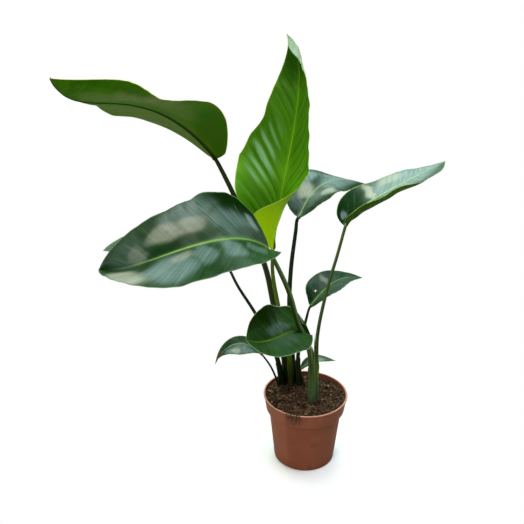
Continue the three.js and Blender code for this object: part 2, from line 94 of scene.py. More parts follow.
STALK = {
    "flatness": 0.9, "root_radius": 0.6, "root_length": 0.06, "top_sink": 1, "top_gap": 0.7,
    "top_straight": 1.5, "midrib_inset": 0.3, "merge": 26, "sides": 24,
}
HALF_APART = 400.0  # keeps the streaks of a blade's two halves from mirroring each other

# midrib: four points of a cubic curve. face: share of the midrib, then where the upper side looks.
# fold and curl: share, left half, right half, in degrees. wave: height, count, phase of each margin.
# cream, haze, glint and dusk are a pale painted reflection, a bluish painted reflection, a bluish painted
# glint that dusk doesn't dim, and dark places of painted shade: each is the middle and the reach of an
# ellipse, along the midrib and across (-1 left margin, 1 right margin), and its strength. above: the
# share of the painted reflections that the upper side keeps.
# bulge and flap are local changes of width, as a share, and of height, in mm: half, share, reach, amount.
# lobe: how far each side of the base reaches back. round_lobe and corner: where across the blade that
# starts and ends, and how far the margin's corner is drawn forward. pleat and crease: height and count
# of the broad waves and of the furrows. holes: share along the midrib, column of the grid.
# stalk: points of its centre line. radius: at the soil and at the blade; taper: how soon it thins.
LEAVES = {
    "upper_left": {
        "midrib": [[-164, -64, 633], [-262, -157, 791], [-348, -188, 696], [-346, -285, 774]],
        "face": [[0, 0.38, 0.85, 0.3], [1, 0.1, 0.8, 0.5]],
        "width": [113, 67], "widest": 0.33, "base": [0.21, 0.24], "point": 3.2, "lobe": [-7, -8],
        "fold": [[0, 8, 23], [0.5, -35, 24], [1, 20, 35]], "curl": [[0, -15, -7], [1, 14, 40]],
        "wave": [[0, 0, 0], [2, 2, 0.2]], "pleat": [0.5, 9], "crease": [0.45, 15], "ripple": 0.004,
        "flap": [[1, 0.4, 0.075, -7], [1, 0.515, 0.035, 4]],
        "stalk": [[-33, 49, 98], [-37, 53, 137], [-43, 33, 216], [-66, 3, 340], [-83, -18, 428],
                  [-136, -51, 569]],
        "radius": [6.9, 3.3], "taper": 0.7,
        "haze": [[0.72, -0.3, 0.12, 0.22, 0.6], [0.6, -0.55, 0.09, 0.25, 0.8], [0.47, -0.75, 0.1, 0.35, 0.95],
                 [0.35, -0.48, 0.11, 0.3, 0.85], [0.23, -0.3, 0.08, 0.2, 0.6], [0.25, 0.5, 0.3, 0.6, 0.7]],
        "dusk": [[0.1, -0.6, 0.11, 0.5, 0.5], [0.75, -0.85, 0.2, 0.2, 0.4]], "above": 0.3,
    },
    "front_left": {
        "midrib": [[-77, -161, 509], [-141, -288, 609], [-254, -267, 503], [-343, -173, 481]],
        "face": [[0, 0.1, -0.6, 0.8], [1, 0.1, -0.6, 0.8]],
        "width": [72, 73], "widest": 0.25, "base": [0.22, 0.16], "point": 2.55, "lobe": [-5, -4],
        "fold": [[0, 24, 14], [0.5, 11, 8], [1, 36, 74]], "curl": [[0, 18, 21], [0.5, 5, 7], [1, 11, 13]],
        "wave": [[1.5, 3, 0.1], [1.8, 3, 0.4]], "pleat": [0.35, 9], "crease": [0.25, 17], "slant": 0.17,
        "ripple": 0.018,
        "bulge": [[1, 0.33, 0.04, 0.045], [1, 0.4, 0.03, -0.03]],
        "cream": [[0.57, 0.5, 0.1, 0.22, 0.58], [0.44, 0.47, 0.11, 0.17, 0.55], [0.75, -0.72, 0.1, 0.34, 0.9],
                  [0.5, -0.2, 0.06, 0.12, 0.5], [0.73, 0.25, 0.05, 0.3, 0.3]],
        "haze": [[0.43, 0.78, 0.16, 0.28, 0.65], [0.55, -0.5, 0.12, 0.4, 1], [0.4, -0.3, 0.05, 0.3, 0.8],
                 [0.27, -0.35, 0.05, 0.3, 0.7], [0.17, -0.4, 0.03, 0.3, 0.5], [0.2, 0.4, 0.12, 0.35, 0.7],
                 [0.8, 0.3, 0.12, 0.6, 0.3]],
        "glint": [[0.1, 0.62, 0.03, 0.16, 1.4]],
        "dusk": [[0.2, 0.95, 0.14, 0.33, 1], [0.45, 0.15, 0.2, 0.12, 0.5], [0.1, 0.25, 0.1, 0.2, 0.6]],
        "stalk": [[9, -20, 98], [11, -23, 137], [7, -45, 213], [0, -68, 278], [-25, -95, 350],
                  [-44, -125, 424]],
        "radius": [6.9, 3.1], "taper": 0.8,
    },
    "newest": {
        "midrib": [[-70, -46, 470], [-57, -50, 600], [8, 13, 784], [-49, -23, 825]],
        "face": [[0, -1, 0.2, 0], [0.35, -0.9, -0.5, 0], [1, -0.6, -0.9, 0]],
        "width": [96, 94], "widest": 0.35, "base": [0.65, 0.58], "point": 0.85, "lobe": [-54, -56],
        "fold": [[0, 23, -26], [0.35, 20, -8], [1, 15, 44]],
        "curl": [[0, 180, 155], [0.35, 26, 37], [1, 5, 7]],
        "wave": [[2, 3, 0.3], [1.5, 3, 0]], "pleat": [1.1, 8], "crease": [2.2, 17], "slant": 0.21,
        "bulge": [[0, 0.43, 0.035, 0.04], [0, 0.52, 0.045, -0.07], [1, 0.42, 0.05, 0.05],
                  [1, 0.55, 0.05, -0.07]],
        "bloom": 0.72, "haze": [[0.38, -0.62, 0.14, 0.36, 0.7]],
        "dusk": [[0.9, 0, 0.25, 1.5, 1], [0.55, 0, 0.2, 1.5, 0.4]],
        "stalk": [[-25, 32, 98], [-27, 37, 137], [-34, 13, 226], [-58, -19, 349], [-69, -38, 424]],
        "radius": [6.5, 3.5], "taper": 1,
    },
    "back_right": {
        "midrib": [[-19, 49, 500], [-8, 66, 502], [4, 106, 589], [124, 160, 538]],
        "face": [[0, -0.2, -0.5, 0.8], [1, 0, -0.4, 0.9]],
        "width": [47, 47], "widest": 0.55, "base": [0.35, 0.35], "point": 2.25, "lobe": [5, 10],
        "fold": [[0, 33, 30], [0.5, 18, 12], [1, -25, -12]],
        "curl": [[0, 22, 21], [0.5, 11, 8], [1, -12, -9]],
        "wave": [[1, 2, 0], [1, 3, 0.3]], "pleat": [0.5, 6], "crease": [0.3, 11], "slant": 0.12,
        "cream": [[0.46, -0.28, 0.1, 0.36, 1], [0.57, 0.6, 0.09, 0.25, 0.9]],
        "haze": [[0.57, -0.7, 0.12, 0.3, 1], [0.78, 0, 0.17, 0.7, 0.7], [0.4, 0.5, 0.15, 0.4, 0.3],
                 [0.25, -0.5, 0.12, 0.4, 0.5]],
        "dusk": [[0.2, -0.5, 0.12, 0.5, 0.6], [0.3, 1.0, 0.3, 0.6, 1], [0.65, -0.35, 0.1, 0.2, 0.5]],
        "stalk": [[-16, 46, 98], [-18, 51, 137], [-26, 49, 207], [-33, 50, 315], [-31, 51, 396],
                  [-23, 53, 473]],
        "radius": [5.6, 3.1], "taper": 0.6,
    },
    "low_right": {
        "midrib": [[4, -11, 343], [23, 8, 356], [49, 47, 388], [113, 65, 369]],
        "face": [[0, -0.2, -0.5, 0.8], [1, 0, -0.4, 0.9]],
        "width": [35, 34], "widest": 0.41, "base": [0.35, 0.35], "point": 1.9, "lobe": [-6, 7],
        "fold": [[0, 30, 32], [0.5, 12, 18], [1, -1, 14]], "curl": [[0, 19, 22], [0.5, 7, 12], [1, -7, 3]],
        "wave": [[1, 2, 0.2], [1, 2, 0.6]], "pleat": [0.4, 5], "crease": [0.28, 8], "slant": 0.12,
        "cream": [[0.52, -0.4, 0.035, 0.42, 0.6], [0.284, -0.4, 0.03, 0.12, 0.5]],
        "haze": [[0.6, 0.1, 0.25, 0.5, 0.15]], "holes": [[0.284, 8]],
        "dusk": [[0.2, -0.4, 0.2, 0.5, 0.7], [0.6, 0.4, 0.3, 0.7, 0.4]],
        "stalk": [[-9, 33, 98], [-10, 38, 137], [-15, 22, 220], [-3, -1, 308]],
        "radius": [5.8, 2.2], "taper": 1,
    },
    "low_front": {
        "midrib": [[-31, -90, 327], [-42, -92, 336], [-78, -152, 328], [-115, -178, 360]],
        "face": [[0, 0.1, -0.5, 0.8], [1, 0.1, -0.3, 0.9]],
        "width": [61, 60], "widest": 0.41, "base": [0.48, 0.48], "point": 2.3, "lobe": [37, 35],
        "fold": [[0, 42, 8], [0.5, 16, 27], [1, -2, 0]], "curl": [[0, 26, 6], [0.5, 5, 13], [1, -5, -4]],
        "wave": [[1.2, 2, 0.1], [1.2, 3, 0.5]], "pleat": [0.35, 6], "crease": [0.2, 9], "slant": 0.12,
        "round_lobe": [0.0, 0.45], "corner": 0.75, "flap": [[0, 0.1, 0.08, -6]],
        "bulge": [[0, 0.05, 0.06, 0.1], [1, 0.05, 0.09, 0.35]],
        "haze": [[0.38, 0.25, 0.26, 0.17, 0.6], [0.4, -0.3, 0.3, 0.3, 0.15]],
        "dusk": [[0.55, 0.95, 0.4, 0.5, 1], [0.75, 0.3, 0.2, 0.5, 0.5]],
        "stalk": [[6, -4, 98], [7, -7, 137], [6, -31, 218], [-2, -52, 271], [-20, -71, 303]],
        "radius": [3.8, 2.4], "taper": 1.2,
    },
    "right": {
        "midrib": [[50, -94, 527], [60, -97, 566], [156, -107, 610], [212, -69, 630]],
        "face": [[0, -0.4, -0.6, 0.7], [1, -0.2, -0.6, 0.8]],
        "width": [46, 47], "widest": 0.42, "base": [0.39, 0.41], "point": 2.3, "lobe": [-12, -14],
        "fold": [[0, 14, 12], [0.5, -27, 6], [1, -24, -4]],
        "curl": [[0, 36, 111], [0.5, 13, 90], [1, -17, 45]],
        "wave": [[1, 3, 0.1], [1.8, 4, 0]], "pleat": [0.4, 7], "crease": [0.3, 12], "slant": 0.12,
        "cream": [[0.39, -0.45, 0.035, 0.5, 1], [0.58, -0.75, 0.1, 0.3, 0.6]],
        "haze": [[0.68, -0.3, 0.3, 0.75, 0.9]], "glint": [[0.09, -0.45, 0.04, 0.22, 0.8]],
        "dusk": [[0.13, -0.6, 0.24, 1.1, 1]],
        "stalk": [[17, -6, 98], [19, -10, 137], [18, -27, 218], [16, -43, 298], [28, -65, 401],
                  [41, -81, 471]],
        "radius": [4.6, 2.6], "taper": 1.3,
    },
    "behind_left": {
        "midrib": [[-150, -62, 444], [-202, -76, 476], [-303, -90, 497], [-349, -118, 492]],
        "face": [[0, 0.1, -0.4, 0.9], [1, 0.1, -0.3, 0.9]],
        "width": [44, 43], "widest": 0.42, "base": [0.4, 0.4], "point": 2.15, "lobe": [10, 10],
        "fold": [[0, 25, 25], [0.5, 15, 13], [1, 10, 6]], "curl": [[0, 20, 20], [0.5, 10, 8], [1, 0, -3]],
        "wave": [[1.2, 3, 0.3], [1.2, 3, 0]], "pleat": [0.5, 7], "crease": [0.3, 12],
        "stalk": [[-39, 35, 98], [-45, 40, 137], [-61, 16, 224], [-98, -21, 327], [-132, -46, 399]],
        "radius": [5.6, 2.5], "taper": 1.2,
    },
    "lowest_right": {
        "midrib": [[-8, 24, 185], [8, 34, 196], [21, 35, 209], [63, 34, 198]],
        "face": [[0, -0.2, -0.3, 0.9], [1, 0, -0.2, 0.9]],
        "width": [12, 14], "widest": 0.42, "base": [0.4, 0.4], "point": 2.1, "lobe": [-3, 2],
        "fold": [[0, 30, 23], [0.5, 17, 17], [1, 10, 5]], "curl": [[0, 20, 15], [0.5, 8, 8], [1, 0, -4]],
        "wave": [[0, 0, 0], [0.6, 2, 0]], "pleat": [0.15, 4], "crease": [0.1, 6],
        "cream": [[0.55, 0.2, 0.25, 0.9, 0.7]],
        "stalk": [[2, 27, 105], [1, 30, 137], [-6, 27, 163]],
        "radius": [2.6, 1.7], "taper": 1,
    },
    "lowest_left": {
        "midrib": [[-86, -4, 232], [-118, -18, 279], [-156, -19, 276], [-180, -13, 218]],
        "face": [[0, 0.1, -0.5, 0.9], [1, -0.7, -0.4, 0.6]],
        "width": [23, 16], "widest": 0.44, "base": [0.4, 0.38], "point": 2, "lobe": [-5, -13],
        "fold": [[0, 33, 28], [0.5, -11, 11], [1, 29, 20]],
        "curl": [[0, 22, 19], [0.5, 6, 17], [1, 26, 20]],
        "wave": [[0.8, 2, 0], [0.8, 2, 0.5]], "pleat": [0.2, 5], "crease": [0.12, 8], "slant": 0.12,
        "cream": [[0.53, -0.65, 0.1, 0.3, 0.8]], "haze": [[0.45, -0.5, 0.3, 0.5, 0.6]],
        "dusk": [[0.62, 0.2, 0.12, 0.5, 0.5]], "dry_from": 0.82,
        "stalk": [[-48, 24, 98], [-52, 27, 137], [-58, 23, 161], [-71, 10, 200]],
        "radius": [2.7, 1.8], "taper": 1,
    },
}

# ---------------------------------------------------------------- number helpers


def ease(x):
    x = np.clip(x, 0.0, 1.0)
    return x * x * (3 - 2 * x)


def station(rows, t, column):
    """One column of a station list at the shares t, eased from station to station."""
    t = np.asarray(t, float)
    value = np.full(t.shape, float(rows[0][column]))
    for before, after in zip(rows[:-1], rows[1:]):
        step = ease((t - before[0]) / (after[0] - before[0]))
        value = value + (after[column] - before[column]) * step
    return value


def unit(v):
    return v / np.maximum(np.linalg.norm(v, axis=-1, keepdims=True), 1e-9)


def run_along(points):
    """Distance of each point from the first one, along the line."""
    steps = np.linalg.norm(np.diff(np.array(points, float), axis=0), axis=1)
    return np.concatenate([[0], np.cumsum(steps)])


def wander(x, seed):
    """Smooth noise of one variable, about -1 to 1."""
    x = np.asarray(x, float)
    total = np.zeros(x.shape)
    local = random.Random(seed)
    for octave in range(2):
        for _ in range(3):
            rate = (1 + local.random()) * 2**octave
            total += np.sin(rate * x + 2 * math.pi * local.random()) / (3 * 1.6**octave)
    return total


# ---------------------------------------------------------------- meshes and nodes


def add_mesh(name, points, faces, material, attributes=None):
    """A new object from points in millimetres, with float attributes for its material."""
    mesh = bpy.data.meshes.new(name)
    mesh.from_pydata((np.asarray(points, float) * MM).tolist(), [], [tuple(f) for f in faces])
    for key, values in (attributes or {}).items():
        layer = mesh.attributes.new(key, "FLOAT", "POINT")
        layer.data.foreach_set("value", np.asarray(values, np.float32).ravel())
    mesh.materials.append(material)
    mesh.polygons.foreach_set("use_smooth", [True] * len(mesh.polygons))
    mesh.validate()
    mesh.update()
    piece = bpy.data.objects.new(name, mesh)
    bpy.context.scene.collection.objects.link(piece)
    return piece


class Nodes:
    """A short way to write the node tree of a material or of the world."""

    def __init__(self, owner, output="ShaderNodeOutputMaterial"):
        owner.use_nodes = True
        self.owner = owner
        self.tree = owner.node_tree
        self.tree.nodes.clear()
        self.output = self.tree.nodes.new(output)

    def put(self, socket, value):
        if isinstance(value, bpy.types.NodeSocket):
            self.tree.links.new(value, socket)
        else:
            socket.default_value = value

    def node(self, kind, inputs=None, **settings):
        made = self.tree.nodes.new(kind)
        for key, value in settings.items():
            setattr(made, key, value)
        for key, value in (inputs or {}).items():
            self.put(made.inputs[key], value)
        return made

    def attribute(self, name):
        return self.node("ShaderNodeAttribute", attribute_name=name).outputs["Fac"]

    def math(self, operation, a, b=0.0, c=0.0):
        return self.node("ShaderNodeMath", {0: a, 1: b, 2: c}, operation=operation).outputs[0]

    def times(self, a, b):
        return self.math("MULTIPLY", a, b)

    def span(self, value, low, high, to_low=0.0, to_high=1.0):
        inputs = {"Value": value, "From Min": low, "From Max": high, "To Min": to_low, "To Max": to_high}
        return self.node("ShaderNodeMapRange", inputs, interpolation_type="SMOOTHSTEP").outputs["Result"]

    def mix(self, share, a, b, blend="MIX"):
        made = self.node("ShaderNodeMix", data_type="RGBA", blend_type=blend)
        self.put(made.inputs[0], share)
        self.put(made.inputs[6], a)
        self.put(made.inputs[7], b)
        return made.outputs[2]

    def blend(self, share, a, b):
        """A number between a and b."""
        return self.node("ShaderNodeMix", {0: share, 2: a, 3: b}, data_type="FLOAT").outputs[0]

    def vector(self, x, y, z=0.0):
        return self.node("ShaderNodeCombineXYZ", {0: x, 1: y, 2: z}).outputs[0]

    def noise(self, vector, scale, detail=2.0, roughness=0.5):
        inputs = {"Vector": vector, "Scale": scale, "Detail": detail, "Roughness": roughness}
        return self.node("ShaderNodeTexNoise", inputs).outputs["Fac"]

    def object_place(self):
        return self.node("ShaderNodeTexCoord").outputs["Object"]

    def bump(self, height, distance, normal=None):
        inputs = {"Height": height, "Distance": distance, "Strength": 1.0}
        if normal is not None:
            inputs["Normal"] = normal
        return self.node("ShaderNodeBump", inputs).outputs["Normal"]

    def principled(self, colour, rough, shine, **more):
        inputs = {"Base Color": colour, "Roughness": rough, "Specular IOR Level": shine, **more}
        return self.node("ShaderNodeBsdfPrincipled", inputs).outputs[0]

    def mix_shader(self, share, a, b):
        return self.node("ShaderNodeMixShader", {0: share, 1: a, 2: b}).outputs[0]

    def finish(self, shader):
        self.tree.links.new(shader, self.output.inputs["Surface"])
        return self.owner


def rgb(r, g, b):
    return (r, g, b, 1.0)


# ---------------------------------------------------------------- leaf material


# lines and vein_lines: strength of the pale streaks and of the bright lines beside the furrows.
# furrows: strength of the painted shade in the furrows. bare: tint of that painted shade and of the dusk
# patches of painted shade.
# rib_width: where the rib's colour fades out, as a share of its half width. rib_fade: where along the
# midrib it starts to fade. haze: colour of the painted bluish reflection. ridged: share of it that sits on
# the ridges only, as painted highlights.
# mellow: colour of patches on the lower side. foot: colour of the lower side near the stalk.
# glow: share of the light that comes through.
LEAF_LOOK = {
    "furrows": 0.3, "rib_width": (0.5, 0.85), "rib_fade": 0.6, "shine": 0.3, "bump": 0.0001,
    "haze": rgb(0.19, 0.28, 0.26), "ridged": 0.0, "mellow": rgb(0.05, 0.08, 0.01), "vein_lines": 0.2,
}


def leaf_material(name, dark, light, under, rib, under_rib, glow, margin_and_highlight, look):
    """dark, light: the upper side. under: the lower side. glow: light that comes through it."""
    look = {**LEAF_LOOK, **look}
    n = Nodes(bpy.data.materials.new(name))
    vein = n.attribute("vein")  # millimetres along the midrib to the foot of the side vein
    across = n.attribute("across")  # 0 at the midrib, 1 at the margin
    below = n.attribute("below")  # 1 on the lower side
    above = n.math("SUBTRACT", 1.0, below)
    rib_share = n.attribute("rib")  # distance from the midrib over its half width
    margin = n.attribute("margin")  # millimetres from the margin
    along = n.attribute("along")
    crease = n.attribute("crease")
    place = n.object_place()

    fine = n.noise(n.vector(n.times(vein, 0.95), n.times(across, 1.6)), 1.0, 1.0)
    hatch = n.noise(n.vector(n.times(vein, 0.06), n.times(margin, 1.0)), 1.0, 1.0)
    middle = n.noise(n.vector(n.times(vein, 0.21), n.times(across, 0.9)), 1.0, 2.0)
    broad = n.noise(place, 16.0, 3.0, 0.55)
    cloud = n.noise(place, 5.0, 2.0)

    tone = n.math("MULTIPLY_ADD", middle, 0.6, n.times(fine, 0.35))
    tone = n.math("MULTIPLY_ADD", broad, 0.5, tone)
    tone = n.span(tone, 0.45, 1.0)
    upper = n.mix(tone, dark, light)
    line = n.span(middle, 0.6, 0.74)
    upper = n.mix(n.times(line, look["lines"]), upper, rib)
    upper = n.mix(n.span(cloud, 0.45, 0.75, 0.0, 0.35), upper, light)
    # painted shade: the furrows and the dusk patches darken towards this tint of the dark colour
    bare = tuple(c * k for c, k in zip(dark[:3], look["bare"])) + (1.0,)
    upper = n.mix(n.span(crease, -0.5, 0.05, look["furrows"], 0.0), upper, bare)
    beside = n.times(n.span(crease, -0.46, -0.36), n.span(crease, -0.34, -0.2, 1.0, 0.0))
    beside = n.times(beside, n.span(middle, 0.42, 0.6, 0.0, look["vein_lines"]))
    beside = n.times(beside, n.span(along, 0.15, 0.4, 1.0, 0.0))

    # lower side: darker streaks, mellow patches and, on the newest leaf, a bright foot
    under_dark = tuple(0.36 * c for c in under[:3]) + (1.0,)
    lower = n.mix(n.span(tone, 0.15, 0.85, 0.0, 0.85), under, under_dark)
    lower = n.mix(n.times(n.span(fine, 0.48, 0.66), 0.5), lower, under)
    lower = n.mix(n.span(n.noise(place, 11.0, 2.0), 0.42, 0.7, 0.0, 0.6), lower, look["mellow"])
    if "foot" in look:
        lower = n.mix(n.span(along, 0.1, 0.3, 0.92, 0.0), lower, look["foot"])
    colour = n.mix(below, upper, lower)

    # dusk patches of painted shade, then the two painted reflections, pale and bluish, over them
    dusk = n.attribute("dusk")
    colour = n.mix(dusk, colour, bare)
    # where the painted bluish reflection shows: along the veins, or on the crease ridges as painted
    # highlights
    veined = n.math("MULTIPLY_ADD", n.span(fine, 0.35, 0.65), 0.16, n.span(middle, 0.34, 0.62, 0.5, 0.8))
    veined = n.times(veined, n.span(hatch, 0.4, 0.6, 0.85, 1.0))
    ridged = n.span(crease, 0.02, 0.26)
    painted_reflection = n.blend(look["ridged"], veined, ridged)
    colour = n.mix(n.times(n.attribute("haze"), painted_reflection), colour, look["haze"])
    # streaks in the painted pale reflection
    reflection_streaks = n.times(n.span(hatch, 0.38, 0.6, 0.8, 1.0), n.span(middle, 0.3, 0.5, 0.8, 1.0))
    colour = n.mix(n.times(n.attribute("cream"), reflection_streaks), colour, rgb(0.42, 0.43, 0.33))
    colour = n.mix(n.times(beside, above), colour, rgb(0.3, 0.42, 0.28))

    # midrib, bloom, the pale margin with a painted highlight along it, and dry places
    low, high = look["rib_width"]
    ribbed = n.times(n.span(rib_share, low, high, 1.0, 0.0), above)
    ribbed = n.times(ribbed, n.span(along, look["rib_fade"], 1.0, 1.0, 0.15))
    colour = n.mix(n.times(n.span(rib_share, high, 3.2, 0.16, 0.0), above), colour, rib)
    colour = n.mix(ribbed, colour, rib)
    colour = n.mix(n.times(n.span(rib_share, 0.7, 1.2, 1.0, 0.0), below), colour, under_rib)
    colour = n.mix(n.attribute("bloom"), colour, n.mix(tone, rgb(0.6, 0.88, 0.6), rgb(0.86, 0.96, 0.84)))
    # the margin's own pale tint, brightened into a painted highlight along the edge
    edge = n.span(margin, 0.3, 1.3, 0.85, 0.0)
    colour = n.mix(edge, colour, margin_and_highlight)
    dry = n.times(n.attribute("dry"), n.span(broad, 0.3, 0.6, 0.3, 0.9))
    colour = n.mix(dry, colour, rgb(0.1, 0.06, 0.015))

    rough_noise = n.math("MULTIPLY_ADD", middle, 0.12, n.times(broad, 0.14))
    rough_upper = n.math("ADD", rough_noise, look["rough"])
    rough = n.blend(below, rough_upper, 0.6)
    gloss = n.math("MULTIPLY_ADD", dusk, -0.85 * look["shine"], look["shine"])
    shine = n.blend(below, gloss, 0.05)

    height = n.math("MULTIPLY_ADD", fine, 0.55, n.times(middle, 0.8))
    normal = n.bump(height, look["bump"])
    normal = n.bump(n.noise(place, 900.0, 2.0), 0.00001, normal)

    surface = n.principled(colour, rough, shine, Normal=normal, IOR=1.46)
    through = n.mix(n.span(tone, 0.0, 1.0, 0.3, 0.0), glow, dark)
    through = n.mix(n.span(rib_share, 0.7, 1.3, 1.0, 0.0), through, dark)
    lit = n.node("ShaderNodeBsdfTranslucent", {"Color": through, "Normal": normal})
    return n.finish(n.mix_shader(look["glow"], surface, lit.outputs[0]))


MATURE = leaf_material(
    "leaf_mature", rgb(0.004, 0.026, 0.003), rgb(0.014, 0.064, 0.012), rgb(0.03, 0.08, 0.008),
    rgb(0.27, 0.47, 0.12), rgb(0.03, 0.09, 0.008), rgb(0.12, 0.28, 0.01), rgb(0.22, 0.34, 0.14),
    {"lines": 0.14, "furrows": 0.4, "bare": (0.9, 0.85, 0.4), "rib_width": (0.55, 0.95),
     "rib_fade": 0.68, "rough": 0.22, "bump": 0.00011, "glow": 0.12, "vein_lines": 0.45})
GREEN = leaf_material(
    "leaf_green", rgb(0.008, 0.036, 0.002), rgb(0.03, 0.1, 0.01), rgb(0.03, 0.09, 0.004),
    rgb(0.24, 0.42, 0.03), rgb(0.03, 0.09, 0.008), rgb(0.16, 0.42, 0.01), rgb(0.5, 0.6, 0.4),
    {"lines": 0.08, "furrows": 0.2, "bare": (0.8, 0.55, 0.4), "rib_width": (0.55, 0.9),
     "rib_fade": 0.75, "rough": 0.3, "shine": 0.14, "bump": 0.00008, "glow": 0.2, "vein_lines": 0.1})
SUNLIT = leaf_material(
    "leaf_sunlit", rgb(0.02, 0.07, 0.004), rgb(0.05, 0.13, 0.012), rgb(0.056, 0.165, 0.001),
    rgb(0.12, 0.28, 0.04), rgb(0.02, 0.06, 0.002), rgb(0.22, 0.5, 0.006), rgb(0.6, 0.72, 0.06),
    {"lines": 0.1, "bare": (0.6, 0.75, 0.2), "rib_fade": 0.5, "rough": 0.28, "shine": 0.35,
     "bump": 0.00011, "glow": 0.25, "haze": rgb(0.2, 0.19, 0.07), "mellow": rgb(0.105, 0.13, 0.006)})
YOUNG = leaf_material(
    "leaf_young", rgb(0.056, 0.19, 0.001), rgb(0.115, 0.35, 0.002), rgb(0.2, 0.4, 0.004),
    rgb(0.26, 0.5, 0.008), rgb(0.26, 0.48, 0.01), rgb(0.3, 0.55, 0.003), rgb(0.6, 0.75, 0.15),
    {"lines": 0.04, "furrows": 0.68, "bare": (0.27, 0.38, 0.3), "rib_width": (0.2, 0.4),
     "rough": 0.26, "shine": 0.2, "glow": 0.15, "haze": rgb(0.3, 0.55, 0.3), "ridged": 1.0,
     "mellow": rgb(0.15, 0.31, 0.006), "vein_lines": 0.0, "foot": rgb(0.6, 0.93, 0.001)})
PALE = leaf_material(
    "leaf_pale", rgb(0.01, 0.034, 0.012), rgb(0.035, 0.08, 0.035), rgb(0.045, 0.11, 0.004),
    rgb(0.34, 0.5, 0.24), rgb(0.06, 0.14, 0.03), rgb(0.16, 0.3, 0.02), rgb(0.24, 0.38, 0.1),
    {"lines": 0.15, "bare": (0.5, 0.85, 0.4), "rough": 0.24, "glow": 0.1,
     "haze": rgb(0.27, 0.37, 0.36), "mellow": rgb(0.08, 0.11, 0.01)})
LEAF_MATERIAL = {
    "upper_left": SUNLIT, "front_left": MATURE, "newest": YOUNG, "back_right": PALE,
    "low_right": MATURE, "low_front": GREEN, "right": PALE, "behind_left": PALE,
    "lowest_right": PALE, "lowest_left": PALE,
}

# ---------------------------------------------------------------- leaf blade


def midrib_frame(leaf, t):
    """Point, direction, side and upward directions of the midrib at the shares t."""
    a, b, c, d = (np.array(p, float) for p in leaf["midrib"])
    t = np.asarray(t, float)[:, None]
    s = 1 - t
    point = s**3 * a + 3 * s * s * t * b + 3 * s * t * t * c + t**3 * d
    along = unit(3 * s * s * (b - a) + 6 * s * t * (c - b) + 3 * t * t * (d - c))
    face = np.stack([station(leaf["face"], t[:, 0], k) for k in (1, 2, 3)], -1)
    side = unit(np.cross(along, face))
    return point, along, side, np.cross(side, along)


def outline(leaf, t, half):
    """Width of one half at the shares t, as a share of its greatest width."""
    start = leaf["base"][half]
    widest = leaf["widest"]
    opening = start + (1 - start) * np.sin(math.pi / 2 * np.clip(t / widest, 0, 1)) ** BLADE["swell"]
    closing = 1 - np.clip((t - widest) / (1 - widest), 0, 1) ** leaf["point"]
    if leaf["lobe"][half] > 0:
        opening = opening * (1 - BLADE["corner_cut"] * np.clip(1 - t / BLADE["corner_span"], 0, 1) ** 2)
    width = np.maximum(np.where(t < widest, opening, closing), 0.004)
    return width * (1 + local_change(leaf, "bulge", t, half))


def local_change(leaf, kind, t, half):
    """Sum of the leaf's soft local changes of one kind on one half."""
    total = np.zeros(np.shape(t))
    for side, middle, reach, amount in leaf.get(kind, []):
        if side == half:
            total = total + amount * np.exp(-(((t - middle) / reach) ** 2))
    return total


def rib_half_width(leaf, t):
    thick = leaf["radius"][1] - STALK["midrib_inset"]
    return BLADE["rib_tip"] + (thick - BLADE["rib_tip"]) * (1 - t)


def vein_foot(leaf, t, u):
    """Share of the midrib at which the side vein through a point of the blade starts."""
    return t - leaf.get("slant", BLADE["vein_slant"]) * u**0.8 * (1.5 - 0.9 * t)


def patches(leaf, kind, t, across):
    """Strength, from 0 to 1, of the leaf's patches of one kind."""
    t = t + 0.012 * wander(7 * across + 11 * t, 5)
    across = across + 0.05 * wander(23 * t, 6)
    total = np.zeros(np.broadcast(t, across).shape)
    for middle, side, reach, reach_across, strength in leaf.get(kind, []):
        away = ((t - middle) / reach) ** 2 + ((across - side) / reach_across) ** 2
        total = np.maximum(total, strength * np.exp(-away**3))
    return total


def creases_of(leaf, t, half, u):
    """Height of the ridges between the side veins, from -0.7 in a furrow to 0.3 on a ridge."""
    seed = 31 * half + len(leaf["stalk"]) + int(leaf["width"][0])
    foot = vein_foot(leaf, t, u)
    bent = foot + 0.01 * wander(foot * 22, seed)
    ridge = np.abs(np.sin(math.pi * leaf["crease"][1] * bent)) ** 0.6 - 0.7
    strength = np.clip(0.75 + 0.35 * wander(foot * 15, seed + 1), 0.2, 1.2)
    return ridge * strength * np.clip(u * 6, 0, 1) * np.clip((1 - u) * 3, 0, 1)


